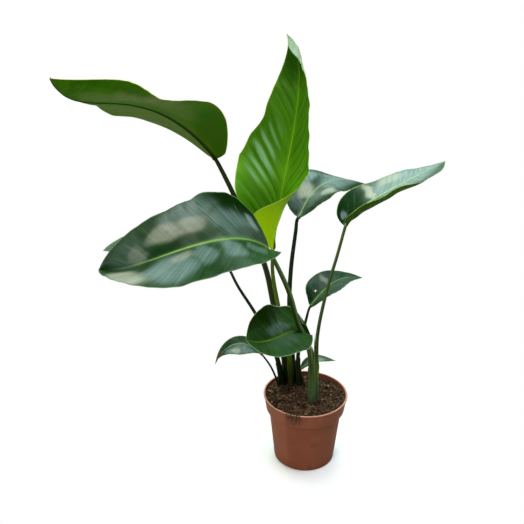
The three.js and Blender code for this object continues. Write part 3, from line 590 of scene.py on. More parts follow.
def blade_half(leaf, t, half, u):
    """Middle surface of one half: t in rows, u from 0 at the midrib to 1 at the margin, in columns."""
    sign = -1 if half == 0 else 1
    point, along, side, up = (a[:, None, :] for a in midrib_frame(leaf, t))
    t = t[:, None]
    width = leaf["width"][half] * outline(leaf, t, half)
    fold = np.radians(station(leaf["fold"], t, half + 1))
    curl = np.radians(station(leaf["curl"], t, half + 1))
    curl = np.where(np.abs(curl) < 1e-3, 1e-3, curl)
    angle = fold + curl * u
    out = width * (np.sin(angle) - np.sin(fold)) / curl
    rise = width * (np.cos(fold) - np.cos(angle)) / curl
    normal = -sign * np.sin(angle)[..., None] * side + np.cos(angle)[..., None] * up
    ends = np.clip((1 - t) * BLADE["wave_fade"], 0, 1)
    ends = ends * np.clip(t * BLADE["wave_rise"] + BLADE["wave_start"], 0, 1)
    height, count, phase = leaf["wave"][half]
    wave = height * u * u * np.sin(2 * math.pi * (count * t + phase))
    pleat_height, pleats = leaf["pleat"]
    pleat = pleat_height * 4 * u * (1 - u) * np.sin(2 * math.pi * pleats * (t - BLADE["slant"] * u))
    crease = leaf["crease"][0] * creases_of(leaf, t, half, u)
    ripple = leaf.get("ripple", BLADE["ripple"]) * leaf["width"][half] * u**6
    ripple = ripple * wander(t * 34, 3 * half + int(leaf["width"][0]))
    flap = local_change(leaf, "flap", t, half) * u**3
    back = leaf["lobe"][half] * np.clip(1 - t / BLADE["lobe_span"], 0, None) ** 2
    low, high = leaf.get("round_lobe", BLADE["round_lobe"])
    back = back * (ease((u - low) / (high - low)) if leaf["lobe"][half] > 0 else u ** BLADE["lobe_power"])
    back = back * (1 - leaf.get("corner", 0.0) * np.clip((u - high) / (1 - high), 0, 1) ** 2)
    lift = (wave + pleat + crease + ripple) * ends + flap
    surface = point + (sign * out)[..., None] * side + rise[..., None] * up
    return surface + lift[..., None] * normal - back[..., None] * along


def grid_normals(grid):
    rows = np.gradient(grid, axis=0)
    columns = np.gradient(grid, axis=1)
    return unit(np.cross(columns, rows))


def both_halves(left, right):
    """One grid from the left margin to the right one; the two halves share the midrib's column."""
    return np.concatenate([left[:, ::-1], right[:, 1:]], axis=1)


def blade_grid(leaf, rows):
    """Rows and columns of the middle surface, with what each point needs to know of its place."""
    t = np.linspace(0, 1, rows)
    rib = rib_half_width(leaf, t)
    stops = np.array(BLADE["rib_stops"])
    halves = []
    for half in (0, 1):
        width = leaf["width"][half] * outline(leaf, t, half)
        share = np.minimum(rib / width, 0.6 / stops[-1])
        near = share[:, None] * stops
        rest = np.linspace(0, 1, max(int(leaf["width"][half] / BLADE["column"]), 10) + 1)[1:]
        u = np.hstack([near, near[:, -1:] + (1 - near[:, -1:]) * rest])
        halves.append({
            "u": u, "middle": blade_half(leaf, t, half, u), "crease": creases_of(leaf, t[:, None], half, u),
            "width": np.repeat(width[:, None], u.shape[1], 1),
            "share": np.repeat(share[:, None], u.shape[1], 1),
        })
    grid = {key: both_halves(halves[0][key], halves[1][key]) for key in halves[0]}
    grid["t"] = np.repeat(t[:, None], grid["u"].shape[1], 1)
    grid["rib"] = np.clip(grid["u"] / grid["share"], 0, 9)
    grid["is_left"] = np.arange(grid["u"].shape[1]) < halves[0]["u"].shape[1]
    return grid


def blade_surfaces(leaf, grid):
    """Upper side, with its channelled midrib, and lower side, with its keel."""
    t, rib = grid["t"], grid["rib"]
    normals = grid_normals(grid["middle"])
    half_thickness = BLADE["half_thickness"] - BLADE["thinning"] * grid["u"]**5
    scale = rib_half_width(leaf, t) / (leaf["radius"][1] - STALK["midrib_inset"])
    deep = BLADE["rib_depth"] * leaf["radius"][1] / BLADE["rib"] * (1 - t) ** BLADE["rib_taper"]
    keel = deep * np.clip(1 - rib**2, 0, 1) ** 0.8
    shoulder = BLADE["shoulder"] * scale * np.sin(math.pi * np.clip(rib / BLADE["rib_stops"][-1], 0, 1)) ** 2
    channel = BLADE["channel"] * scale * np.exp(-((rib / BLADE["channel_width"]) ** 2))
    top = grid["middle"] + (half_thickness + shoulder - channel)[..., None] * normals
    bottom = grid["middle"] - (half_thickness + keel)[..., None] * normals
    return np.concatenate([top.reshape(-1, 3), bottom.reshape(-1, 3)])


def blade_faces(leaf, rows, columns):
    """Faces of both sides, of the margin between them and of the walls of any hole."""
    count = rows * columns
    index = np.arange(count).reshape(rows, columns)
    cells = np.stack([index[:-1, :-1], index[:-1, 1:], index[1:, 1:], index[1:, :-1]], -1)
    keep = np.ones(cells.shape[:2], bool)
    loops = []
    for t_hole, j in leaf.get("holes", []):
        i = int(t_hole * rows)
        keep[i:i + 2, j] = False
        around = ((i, j), (i, j + 1), (i + 1, j + 1), (i + 2, j + 1), (i + 2, j), (i + 1, j))
        loops.append([index[p] for p in around])
    rim = [*index[0], *index[1:, -1], *index[-1, -2::-1], *index[-2:0:-1, 0]]
    loops.append(rim[::-1])
    upper = cells[keep]
    faces = upper.tolist() + (upper[:, ::-1] + count).tolist()
    for loop in loops:
        faces += [(p, q, q + count, p + count) for p, q in zip(loop, loop[1:] + loop[:1])]
    return faces


def blade_attributes(leaf, grid, length):
    """What the leaf's material reads at each point, for the upper side and then the lower one."""
    t, u = grid["t"], grid["u"]
    across = u * np.where(grid["is_left"], -1, 1)
    waxed_from = 1 - 2 * (np.clip(t - leaf.get("bloom", 2.0), 0, 1) / 0.2) ** 0.8
    dry = ease((t - leaf.get("dry_from", BLADE["dry_from"])) / 0.03)
    inner, reach = BLADE["hole_edge"]
    for t_hole, j in leaf.get("holes", []):
        hole = grid["middle"][int(t_hole * len(t)) + 1, j]
        away = np.linalg.norm(grid["middle"] - hole, axis=-1)
        dry = np.maximum(dry, ease(1 - (away - inner) / reach))
    dusk = patches(leaf, "dusk", t, across)
    values = {
        "vein": vein_foot(leaf, t, u) * length + np.where(grid["is_left"], 0.0, HALF_APART),
        "across": u,
        "rib": grid["rib"],
        "margin": (1 - u) * grid["width"],
        "along": t,
        "bloom": ease((across - waxed_from) / 0.14),
        "dry": dry,
        "crease": grid["crease"],
        "dusk": dusk,
    }
    values = {key: np.tile(value.ravel(), 2) for key, value in values.items()}
    values["below"] = np.repeat([0.0, 1.0], t.size)
    # painted reflections, dimmed inside the painted shade of the dusk patches; the glint patches are not
    # dimmed
    cream, haze = (patches(leaf, kind, t, across) * (1 - 0.9 * dusk) for kind in ("cream", "haze"))
    haze = np.maximum(haze, patches(leaf, "glint", t, across))
    for kind, painted_reflection in (("cream", cream.ravel()), ("haze", haze.ravel())):
        values[kind] = np.concatenate([leaf.get("above", 1.0) * painted_reflection, painted_reflection])
    return values


def blade(name, leaf):
    length = run_along(midrib_frame(leaf, np.linspace(0, 1, 60))[0])[-1]
    row = BLADE["fine_row" if name == "newest" else "row"]
    grid = blade_grid(leaf, max(int(length / row), 44))
    points = np.clip(blade_surfaces(leaf, grid), *(np.array(cad_box) / MM))
    faces = blade_faces(leaf, *grid["t"].shape)
    attributes = blade_attributes(leaf, grid, length)
    piece = add_mesh(f"blade_{name}", points, faces, LEAF_MATERIAL[name], attributes)
    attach(piece, "root")
    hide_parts(f"leaf_{name}")


# ---------------------------------------------------------------- stalk


def stalk_material(name, dark, light, pale, sheath, look):
    n = Nodes(bpy.data.materials.new(name))
    ring_x, ring_y = n.attribute("ring_x"), n.attribute("ring_y")
    height = n.attribute("height")  # millimetres above the soil
    groove = n.attribute("groove")
    dry = n.attribute("dry")
    place = n.object_place()
    slow, slower = n.times(height, 0.03), n.times(height, 0.018)
    streak = n.noise(n.vector(n.times(ring_x, 2.4), n.times(ring_y, 2.4), slower), 1.0, 3.0)
    thin = n.noise(n.vector(n.times(ring_x, 7.0), n.times(ring_y, 7.0), slow), 1.0, 1.0)
    spots = n.noise(place, 240.0, 2.0)
    tone = n.span(n.math("MULTIPLY_ADD", thin, 0.4, n.times(streak, 0.7)), 0.35, 0.8)
    colour = n.mix(tone, dark, light)
    # towards the soil the stalks turn to their foot colour: painted shade of the crowded clump on the dark,
    # young and olive stalks, paler on the green ones
    foot = n.times(n.span(height, 15.0, 110.0, look["foot"], 0.0), n.span(streak, 0.3, 0.6, 0.6, 1.0))
    colour = n.mix(foot, colour, look["foot_colour"])
    colour = n.mix(n.span(thin, 0.55, 0.7, 0.0, 0.3), colour, pale)
    colour = n.mix(n.times(groove, 0.8), colour, pale)
    colour = n.mix(n.attribute("fresh"), colour, rgb(0.17, 0.27, 0.006))
    colour = n.mix(n.span(spots, 0.62, 0.75, 0.0, 0.25), colour, pale)
    husk = n.mix(n.span(thin, 0.35, 0.65), sheath, rgb(0.05, 0.042, 0.014))
    colour = n.mix(n.times(dry, n.span(streak, 0.3, 0.55, 0.5, 1.0)), colour, husk)
    soiled = n.times(n.span(height, -2.0, 9.0, 1.0, 0.0), n.span(spots, 0.35, 0.6))
    colour = n.mix(soiled, colour, rgb(0.03, 0.018, 0.01))
    rough = n.math("MULTIPLY_ADD", thin, 0.16, n.span(height, -5.0, 40.0, 0.55, 0.34))
    normal = n.bump(n.math("MULTIPLY_ADD", thin, 0.6, streak), 0.0003)
    return n.finish(n.principled(colour, rough, 0.12, Normal=normal, IOR=1.46))


DARK_STALK = stalk_material(
    "stalk_dark", rgb(0.002, 0.008, 0.001), rgb(0.01, 0.026, 0.003), rgb(0.02, 0.045, 0.008),
    rgb(0.016, 0.01, 0.004), {"foot": 0.5, "foot_colour": rgb(0.003, 0.008, 0.002)})
GREEN_STALK = stalk_material(
    "stalk_green", rgb(0.016, 0.032, 0.002), rgb(0.045, 0.075, 0.008), rgb(0.12, 0.2, 0.05),
    rgb(0.2, 0.3, 0.06), {"foot": 0.85, "foot_colour": rgb(0.09, 0.16, 0.07)})
YOUNG_STALK = stalk_material(
    "stalk_young", rgb(0.045, 0.08, 0.002), rgb(0.11, 0.18, 0.004), rgb(0.2, 0.3, 0.01),
    rgb(0.04, 0.025, 0.01), {"foot": 0.97, "foot_colour": rgb(0.004, 0.01, 0.002)})
OLIVE_STALK = stalk_material(
    "stalk_olive", rgb(0.008, 0.017, 0.001), rgb(0.03, 0.048, 0.004), rgb(0.06, 0.09, 0.012),
    rgb(0.03, 0.03, 0.008), {"foot": 0.9, "foot_colour": rgb(0.003, 0.01, 0.002)})
STALK_MATERIAL = {
    "upper_left": OLIVE_STALK, "front_left": GREEN_STALK, "right": GREEN_STALK,
    "low_front": GREEN_STALK, "newest": YOUNG_STALK,
}


def between_knots(p, k, x):
    """Point of the centripetal curve between p[1] and p[2] at the knot value x."""
    a = [((k[i + 1] - x) * p[i] + (x - k[i]) * p[i + 1]) / (k[i + 1] - k[i]) for i in range(3)]
    b = [((k[i + 2] - x) * a[i] + (x - k[i]) * a[i + 1]) / (k[i + 2] - k[i]) for i in range(2)]
    return ((k[2] - x) * b[0] + (x - k[1]) * b[1]) / (k[2] - k[1])


def smooth_path(points, samples):
    """Even samples of a centripetal curve through the points."""
    points = [np.array(p, float) for p in points]
    points = [2 * points[0] - points[1], *points, 2 * points[-1] - points[-2]]
    out = []
    for i in range(1, len(points) - 2):
        p = points[i - 1:i + 3]
        knots = [0.0]
        for before, after in zip(p[:-1], p[1:]):
            knots.append(knots[-1] + max(np.linalg.norm(after - before) ** 0.5, 1e-4))
        out += [between_knots(p, knots, x) for x in np.linspace(knots[1], knots[2], 40, endpoint=False)]
    out = np.array([*out, points[-2]])
    run = run_along(out)
    even = np.linspace(0, run[-1], samples)
    return np.stack([np.interp(even, run, out[:, k]) for k in range(3)], -1)


def stalk_path(leaf):
    """Centre line and radius of a stalk, carried on into the keel of its blade for some length."""
    point, along, _, up = (a[0] for a in midrib_frame(leaf, [0.0]))
    radius = leaf["radius"][1]
    end = point - STALK["top_sink"] * radius / BLADE["rib"] * up - STALK["top_gap"] * along
    turning = unit(unit(end - np.array(leaf["stalk"][-1], float)) + along)
    before = end - STALK["top_straight"] * radius * turning
    path = smooth_path([*leaf["stalk"], before, end], max(int(run_along(leaf["stalk"])[-1] / 5), 30))
    s = np.linspace(0, 1, len(path))
    body = radius + (leaf["radius"][0] - radius) * (1 - s) ** leaf["taper"]
    body = body * np.interp(s / STALK["root_length"], [0, 1], [STALK["root_radius"], 1])
    shares = np.linspace(0, 0.35, 50)
    run = run_along(midrib_frame(leaf, shares)[0])
    steps = np.linspace(0, STALK["merge"], 9)[1:]
    more, _, _, ups = midrib_frame(leaf, np.interp(steps, run, shares))
    shrink = radius * (1 - 0.62 * ease(steps / STALK["merge"]))
    more = more - ups * (shrink * 0.78 + 0.35)[:, None]
    centres = np.concatenate([path, more])
    return centres, np.concatenate([body, shrink])


def cross_directions(centres, facing):
    """Groove direction and width direction of each ring of a tube."""
    along = unit(np.gradient(centres, axis=0))
    groove = unit(facing - along * (along * facing).sum(-1, keepdims=True))
    return groove, np.cross(groove, along)


def ring_points(centres, reach, angle, groove, width, flatness=1.0):
    """Points of the rings of a tube, which is thinner across its groove."""
    return (centres[:, None, :] + (reach * np.cos(angle) * flatness)[..., None] * groove[:, None, :]
            + (reach * np.sin(angle))[..., None] * width[:, None, :])


def tube_faces(rings, sides, start=0, caps=True):
    faces = []
    for i in range(rings - 1):
        for k in range(sides):
            a, b = start + i * sides + k, start + i * sides + (k + 1) % sides
            faces.append((a, b, b + sides, a + sides))
    if caps:
        faces.append(tuple(start + k for k in range(sides))[::-1])
        faces.append(tuple(start + (rings - 1) * sides + k for k in range(sides)))
    return faces


def stalk(name, leaf, sheaths=()):
    sides = STALK["sides"]
    centres, radius = stalk_path(leaf)
    facing = np.array([leaf["face"][0][1:]], float) + np.array([[0.0, 0.0, 0.001]])
    groove, width = cross_directions(centres, facing)
    angle = 2 * math.pi * np.arange(sides) / sides
    away = np.abs(np.where(angle > math.pi, angle - 2 * math.pi, angle))
    notch = np.exp(-((away / 0.42) ** 2))
    lips = np.exp(-(((away - 0.72) / 0.3) ** 2))
    rows = np.arange(len(centres))[:, None]
    ribs = 0.012 * np.cos(9 * angle)[None, :] + 0.012 * wander(rows * 0.11 + 3 * np.cos(angle)[None, :], 5)
    depth = np.clip(rows / len(centres), 0.1, 1)
    shape = 1 - 0.2 * depth * notch[None, :] + 0.05 * depth * lips[None, :] + ribs
    reach = radius[:, None] * shape
    points = ring_points(centres, reach, angle, groove, width, STALK["flatness"])
    faces = tube_faces(len(centres), sides)
    values = {
        "ring_x": np.tile(np.cos(angle), len(centres)),
        "ring_y": np.tile(np.sin(angle), len(centres)),
        "height": np.repeat(centres[:, 2] - SOIL["level"], sides),
        "groove": np.tile(notch, len(centres)),
        "dry": np.zeros(len(centres) * sides),
        "fresh": np.zeros(len(centres) * sides),
    }
    points = points.reshape(-1, 3)
    for sheath_values in sheaths:
        more, more_faces, more_values = sheath(centres, radius, groove, width, len(points), *sheath_values)
        points = np.concatenate([points, more])
        faces += more_faces
        values = {key: np.concatenate([values[key], more_values[key]]) for key in values}
    piece = add_mesh(f"petiole_{name}", points, faces, STALK_MATERIAL.get(name, DARK_STALK), values)
    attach(piece, "root")
    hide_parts(f"stalk_{name}")


def sheath(centres, radius, groove, width, start, top, tip_angle, drop, thick_wall, dryness, fresh):
    """A closed shell round the foot of a stalk, which rises to a point on one side."""
    sides, rings, low = 30, 40, SOIL["level"] - 8
    angle = tip_angle + 2 * math.pi * np.arange(sides) / sides
    away = np.abs(2 * math.pi * np.arange(sides) / sides)
    away = np.minimum(away, 2 * math.pi - away) / math.pi
    ceiling = top - drop * away ** 0.75
    v = np.linspace(0, 1, rings)[:, None]
    z = low + (ceiling[None, :] - low) * v
    heights = centres[:, 2]
    centre = np.stack([np.interp(z, heights, centres[:, k]) for k in range(3)], -1)
    thick = np.interp(z, heights, radius)
    g = np.stack([np.interp(z, heights, groove[:, k]) for k in range(3)], -1)
    w = np.stack([np.interp(z, heights, width[:, k]) for k in range(3)], -1)
    outward = np.cos(angle)[None, :, None] * g * STALK["flatness"] + np.sin(angle)[None, :, None] * w
    body = thick_wall * (1 - 0.75 * v**5) * (0.75 + 0.25 * np.cos(angle - tip_angle))[None, :]
    lift = 0.3 + body + 0.1 * np.sin(5 * angle)[None, :] + 1.0 * v**14
    outer = centre + outward * (thick + lift)[..., None]
    inner = centre + outward * (thick + lift - 0.28 - 0.5 * (1 - v))[..., None]
    points = np.concatenate([outer.reshape(-1, 3), inner.reshape(-1, 3)])
    faces = tube_faces(rings, sides, start, caps=False)
    count = rings * sides
    faces += [tuple(reversed(f)) for f in tube_faces(rings, sides, start + count, caps=False)]
    for k in range(sides):
        a, b = start + k, start + (k + 1) % sides
        faces.append((b, a, a + count, b + count))
        a, b = a + (rings - 1) * sides, b + (rings - 1) * sides
        faces.append((a, b, b + count, a + count))
    tip = np.clip((z - (top - 26)) / 26, 0, 1)
    rim = np.clip((v - 0.955) / 0.045, 0, 1)
    pale = np.clip(0.3 * rim + 0.75 * tip * (1 - away[None, :]) ** 0.5, 0, 1)
    values = {
        "ring_x": np.tile(np.cos(angle), 2 * rings),
        "ring_y": np.tile(np.sin(angle), 2 * rings),
        "height": np.tile((z - SOIL["level"]).ravel(), 2),
        "groove": np.tile((pale * np.ones_like(z)).ravel(), 2),
        "dry": np.tile((dryness * np.ones_like(z)).ravel(), 2),
        "fresh": np.tile((fresh * ease((z - SOIL["level"]) / 90) * (1 - 0.5 * away[None, :])).ravel(), 2),
    }
    return points, faces, values


# top of the point, its angle from the groove, drop to the far side, thickness, dryness, freshness
SHEATHS = {
    "front_left": [(287, -1.2, 70, 1.2, 0.0, 0.1)],
    "right": [(300, 1.3, 90, 2.0, 0.0, 0.9)],
    "back_right": [(238, 2.6, 40, 0.8, 0.35, 0.0)],
    "upper_left": [(262, 0.6, 60, 0.9, 0.15, 0.0)],
    "newest": [(240, 0.9, 50, 0.9, 0.3, 0.0)],
    "behind_left": [(232, 0.4, 46, 2.4, 0.1, 0.0)],
    "low_right": [(225, -0.8, 36, 1.0, 0.3, 0.0)],
}

for leaf_name, leaf_form in LEAVES.items():
    blade(leaf_name, leaf_form)
    stalk(leaf_name, leaf_form, SHEATHS.get(leaf_name, ()))

# ---------------------------------------------------------------- pot


def body_radius(z):
    return POT["foot"] + (POT["body_top"] - POT["foot"]) * z / (POT["height"] - POT["band_height"])


def pot_profile():
    """The pot's section, from the middle of its underside round to the middle of its floor."""
    edge, wall, step = POT["edge"], POT["wall"], POT["height"] - POT["band_height"]
    lip, rise, top = POT["height"] - POT["lip_height"], POT["channel_rise"], POT["rim"] - POT["lip_proud"]
    inner, outer = POT["channel"]
    shoulder, height = POT["shoulder"], POT["height"]
    return [
        (0, 0), (inner - POT["channel_slope"][0], 0), (inner, rise), (outer, rise),
        (outer + POT["channel_slope"][1], 0), (POT["foot"] - 2 * edge, 0), (POT["foot"], edge),
        (body_radius(step - shoulder), step - shoulder), (POT["band_bottom"] - edge, step - edge / 2),
        (POT["band_bottom"], step + edge), (top, lip - edge), (POT["rim"], lip),
        (POT["rim"], height - edge / 2), (POT["rim"] - edge / 2, height), (top - wall, height),
        (top - wall, lip - edge), (POT["band_bottom"] - wall, step + edge + wall),
        (body_radius(step - shoulder) - wall, step - shoulder + wall),
        (body_radius(rise + POT["floor"]) - wall, rise + POT["floor"]), (0, rise + POT["floor"]),
    ]


def rounded(profile, radius=0.5, steps=3):
    """The profile with each corner replaced by a small arc."""
    out = [profile[0]]
    for before, at, after in zip(profile[:-2], profile[1:-1], profile[2:]):
        at = Vector(at)
        to_before, to_after = Vector(before) - at, Vector(after) - at
        cut = min(radius, to_before.length * 0.45, to_after.length * 0.45)
        p, q = at + to_before.normalized() * cut, at + to_after.normalized() * cut
        for k in range(steps + 1):
            x = k / steps
            out.append(tuple(p.lerp(at, x).lerp(at.lerp(q, x), x)))
    out.append(profile[-1])
    return out


def subdivided(profile, longest=7.0):
    out = [profile[0]]
    for a, b in zip(profile[:-1], profile[1:]):
        steps = max(int(math.dist(a, b) / longest) + 1, 1)
        out += [(a[0] + (b[0] - a[0]) * k / steps, a[1] + (b[1] - a[1]) * k / steps)
                for k in range(1, steps + 1)]
    return out


def lathe(profile, sectors):
    """Points and faces of a closed solid of revolution; the profile starts and ends on the axis."""
    ring = [2 * math.pi * k / sectors for k in range(sectors)]
    points = [(0, 0, profile[0][1])]
    for r, z in profile[1:-1]:
        points += [(r * math.cos(a), r * math.sin(a), z) for a in ring]
    points.append((0, 0, profile[-1][1]))
    faces = []
    rings = len(profile) - 2
    for k in range(sectors):
        n = (k + 1) % sectors
        faces.append((0, 1 + n, 1 + k))
        for i in range(rings - 1):
            a, b = 1 + i * sectors + k, 1 + i * sectors + n
            faces.append((a, b, b + sectors, a + sectors))
        last = 1 + (rings - 1) * sectors
        faces.append((last + k, last + n, len(points) - 1))
    return points, faces


def pot_material():
    n = Nodes(bpy.data.materials.new("pot_plastic"))
    place = n.object_place()
    x, y, height = n.node("ShaderNodeSeparateXYZ", {0: place}).outputs
    cloud = n.noise(place, 14.0, 3.0)
    grain = n.noise(place, 420.0, 3.0, 0.6)
    fine = n.noise(place, 2200.0, 1.0)
    drawn_out = n.node("ShaderNodeMapping", {"Vector": place, "Scale": (60, 60, 14)}).outputs[0]
    smear = n.noise(drawn_out, 1.0, 4.0, 0.6)
    colour = n.mix(n.span(cloud, 0.3, 0.7), rgb(0.235, 0.068, 0.034), rgb(0.27, 0.082, 0.044))
    colour = n.mix(n.span(grain, 0.56, 0.7, 0.0, 0.2), colour, rgb(0.36, 0.14, 0.085))
    # a painted lit stretch on the left side, dust on the band, a painted highlight along the top of the lip
    # and a painted shadow under the band
    side = n.math("DIVIDE", x, n.math("SQRT", n.math("MULTIPLY_ADD", x, x, n.times(y, y))))
    lit_side = n.times(n.span(side, -0.62, -0.5, 0.4, 0.0), n.span(y, -0.01, 0.01, 1.0, 0.0))
    colour = n.mix(lit_side, colour, rgb(0.37, 0.13, 0.07))
    dust = n.times(n.span(height, 0.108, 0.143), n.span(smear, 0.42, 0.68, 0.0, 0.25))
    colour = n.mix(dust, colour, rgb(0.3, 0.17, 0.12))
    # painted highlight along the top of the lip
    colour = n.mix(n.span(height, 0.1438, 0.1447, 0.0, 0.8), colour, rgb(0.62, 0.3, 0.22))
    # painted shadow on the wall under the band's overhang
    band_shadow = n.times(n.span(height, 0.1072, 0.1104, 0.0, 0.7), n.span(height, 0.1122, 0.1132, 1.0, 0.0))
    colour = n.mix(band_shadow, colour, rgb(0.08, 0.027, 0.016))
    # splashes at the foot and one stain at the front
    foot = n.times(n.span(height, 0.0, 0.03, 1.0, 0.0), n.span(smear, 0.5, 0.72, 0.0, 0.5))
    colour = n.mix(foot, colour, rgb(0.08, 0.035, 0.022))
    stain_at = {0: place, 1: (0.013, -0.066, 0.066)}
    stain = n.node("ShaderNodeVectorMath", stain_at, operation="DISTANCE").outputs[1]
    mark = n.times(n.span(stain, 0.0, 0.012, 1.0, 0.0), n.span(grain, 0.3, 0.6, 0.1, 0.35))
    colour = n.mix(mark, colour, rgb(0.06, 0.025, 0.017))
    rough = n.math("MULTIPLY_ADD", cloud, 0.14, n.math("MULTIPLY_ADD", dust, 0.35, 0.4))
    high = n.math("MULTIPLY_ADD", grain, 0.5, n.math("MULTIPLY_ADD", fine, 0.25, n.times(smear, 0.4)))
    return n.finish(n.principled(colour, rough, 0.06, Normal=n.bump(high, 0.00012), IOR=1.49))


POT_PLASTIC = pot_material()


def uneven(x, y, z):
    """A point of the pot, moved by the slight unevenness of a thin moulded shell."""
    a, high = math.atan2(y, x), z / POT["height"]
    oval = 0.0035 * high * (0.5 + 0.5 * math.cos(2 * a + 0.7))
    swell = 1 - oval - 0.001 * (0.5 + 0.5 * math.sin(3 * a))
    dip = 0.35 * high**6 * (0.5 + 0.5 * math.cos(3 * a + 1.1))
    return x * swell, y * swell, z - dip


def drill_drains(body):
    """Cut the drain holes through the raised channel under the pot."""
    ring, reach = sum(POT["channel"]) / 2, POT["drain_radius"] * MM
    made = bmesh.new()
    for k in range(POT["drains"]):
        a = 2 * math.pi * k / POT["drains"]
        at = (ring * math.cos(a) * MM, ring * math.sin(a) * MM, 0)
        tool = bmesh.ops.create_cone(
            made, cap_ends=True, segments=28, radius1=reach, radius2=reach, depth=30 * MM)
        bmesh.ops.translate(made, verts=tool["verts"], vec=at)
    drill_mesh = bpy.data.meshes.new("drills")
    made.to_mesh(drill_mesh)
    made.free()
    drills = bpy.data.objects.new("drills", drill_mesh)
    bpy.context.scene.collection.objects.link(drills)
    cut = body.modifiers.new("drains", "BOOLEAN")
    cut.operation, cut.object, cut.solver = "DIFFERENCE", drills, "EXACT"
    bpy.context.view_layer.update()
    drilled = bpy.data.meshes.new_from_object(body.evaluated_get(bpy.context.evaluated_depsgraph_get()))
    body.modifiers.clear()
    body.data = drilled
    bpy.data.objects.remove(drills)
    bpy.data.meshes.remove(drill_mesh)


def pot():
    points, faces = lathe(subdivided(rounded(pot_profile())), POT["sectors"])
    body = add_mesh("pot_shell", [uneven(*point) for point in points], faces, POT_PLASTIC)
    drill_drains(body)
    body.data.polygons.foreach_set("use_smooth", [True] * len(body.data.polygons))
    body.data.set_sharp_from_angle(angle=math.radians(POT["sharp_from"]))
    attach(body, "root")
    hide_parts("pot")


pot()

# ---------------------------------------------------------------- soil

FEET = np.array([leaf["stalk"][1][:2] for leaf in LEAVES.values()], float)
FEET_RADIUS = np.array([leaf["radius"][0] for leaf in LEAVES.values()], float)
SOIL_WALL = POT["wall"] + 0.15
SOIL_RADIUS = POT["rim"] - POT["lip_proud"] - SOIL_WALL - 0.6  # at the soil's top
CRUMBS = {
    "count": 1700, "few": 350, "margin": 2.6, "small": (0.6, 1.6), "large": (1.6, 3.1), "small_share": 0.75,
}
THREADS = {"count": 620, "few": 90, "spilled": 26, "margin": 6, "knots": 9, "sides": 5, "fewest_knots": 4}


def random_spot(radius):
    """A place anywhere on a disc round the pot's axis."""
    a, d = 2 * math.pi * rng.random(), radius * math.sqrt(rng.random())
    return d * math.cos(a), d * math.sin(a)


def random_lump():
    x, y = random_spot(POT["rim"])
    return x, y, rng.uniform(*SOIL["lump_radius"]), rng.uniform(*SOIL["lump_height"])


LUMPS = [random_lump() for _ in range(SOIL["lumps"])]


def meets_a_stalk(x, y, clearance):
    return (np.hypot(FEET[:, 0] - x, FEET[:, 1] - y) < FEET_RADIUS + clearance).any()


def soil_height(x, y):
    """Height of the soil without its crumbs, at arrays of places."""
    x, y = np.asarray(x, float), np.asarray(y, float)
    z = SOIL["level"] - SOIL["lean"] * y / POT["rim"]
    for cx, cy, radius, high in LUMPS:
        z = z + high * np.exp(-((x - cx) ** 2 + (y - cy) ** 2) / radius**2)
    nearest = np.min([np.hypot(x - fx, y - fy) for fx, fy in FEET], axis=0)
    z = z + SOIL["mound"] * np.exp(-((nearest / SOIL["mound_radius"]) ** 2))
    return np.minimum(z, POT["height"] - SOIL["headroom"])


def soil_material():
    n = Nodes(bpy.data.materials.new("potting_soil"))
    place = n.object_place()
    grain = n.noise(place, 380.0, 6.0, 0.65)
    clump = n.noise(place, 70.0, 3.0)
    chips = n.node("ShaderNodeTexVoronoi", {"Vector": place, "Scale": 330.0}).outputs["Color"]
    chip = n.node("ShaderNodeSeparateColor", {0: chips}).outputs[0]
    shade = n.attribute("shade")
    colour = n.mix(n.span(grain, 0.35, 0.65), rgb(0.01, 0.005, 0.003), rgb(0.07, 0.033, 0.018))
    colour = n.mix(n.span(clump, 0.45, 0.75, 0.0, 0.6), colour, rgb(0.13, 0.07, 0.04))
    colour = n.mix(n.span(chip, 0.8, 0.95, 0.0, 0.7), colour, rgb(0.2, 0.105, 0.06))
    colour = n.mix(n.span(chip, 0.0, 0.3, 0.8, 0.0), colour, rgb(0.012, 0.007, 0.005))
    colour = n.mix(n.span(shade, 0.6, 1.0, 0.0, 0.85), colour, rgb(0.34, 0.18, 0.1))
    colour = n.mix(n.span(shade, 0.0, 0.4, 0.6, 0.0), colour, rgb(0.012, 0.008, 0.006))
    rough = n.span(chip, 0.0, 1.0, 0.75, 0.95)
    return n.finish(n.principled(colour, rough, 0.1, Normal=n.bump(grain, 0.0009)))


SOIL_EARTH = soil_material()


def spilled_root():
    """A root that has slipped over the rim at the front and hangs down outside the pot."""
    a, turn, hang = rng.uniform(-2.08, -1.76), rng.uniform(-0.1, 0.1), rng.uniform(2, 19)
    start, out, sway = SOIL_RADIUS - rng.uniform(2, 10), rng.uniform(0.7, 1.8), rng.uniform(-0.03, 0.03)
    rim, top = POT["rim"], POT["height"]
    line = [
        (start, SOIL["level"] + 1.5), (SOIL_RADIUS, top - 0.4), (rim - POT["lip_proud"] - 0.5, top + 0.8),
        (rim + out, top - 1.5), (rim + 0.9 * out, top - 5),
    ]
    line += [(rim - 0.2 * k + 0.9 * out, top - 5 - hang * k / 4) for k in range(1, 5)]
    knots = len(line) - 1
    angles = [a + turn * k / knots + sway * math.sin(2.2 * k) for k in range(knots + 1)]
    return [(r * math.cos(b), r * math.sin(b), z) for (r, z), b in zip(line, angles)]


def roughness_at(x, y):
    """Small unevenness of the soil's top, in three sizes."""
    return sum(high * noise.noise(Vector((x * rate, y * rate, layer)))
               for high, rate, layer in ((2.0, 0.16, 3.0), (1.3, 0.5, 9.0), (0.7, 1.3, 1.0)))


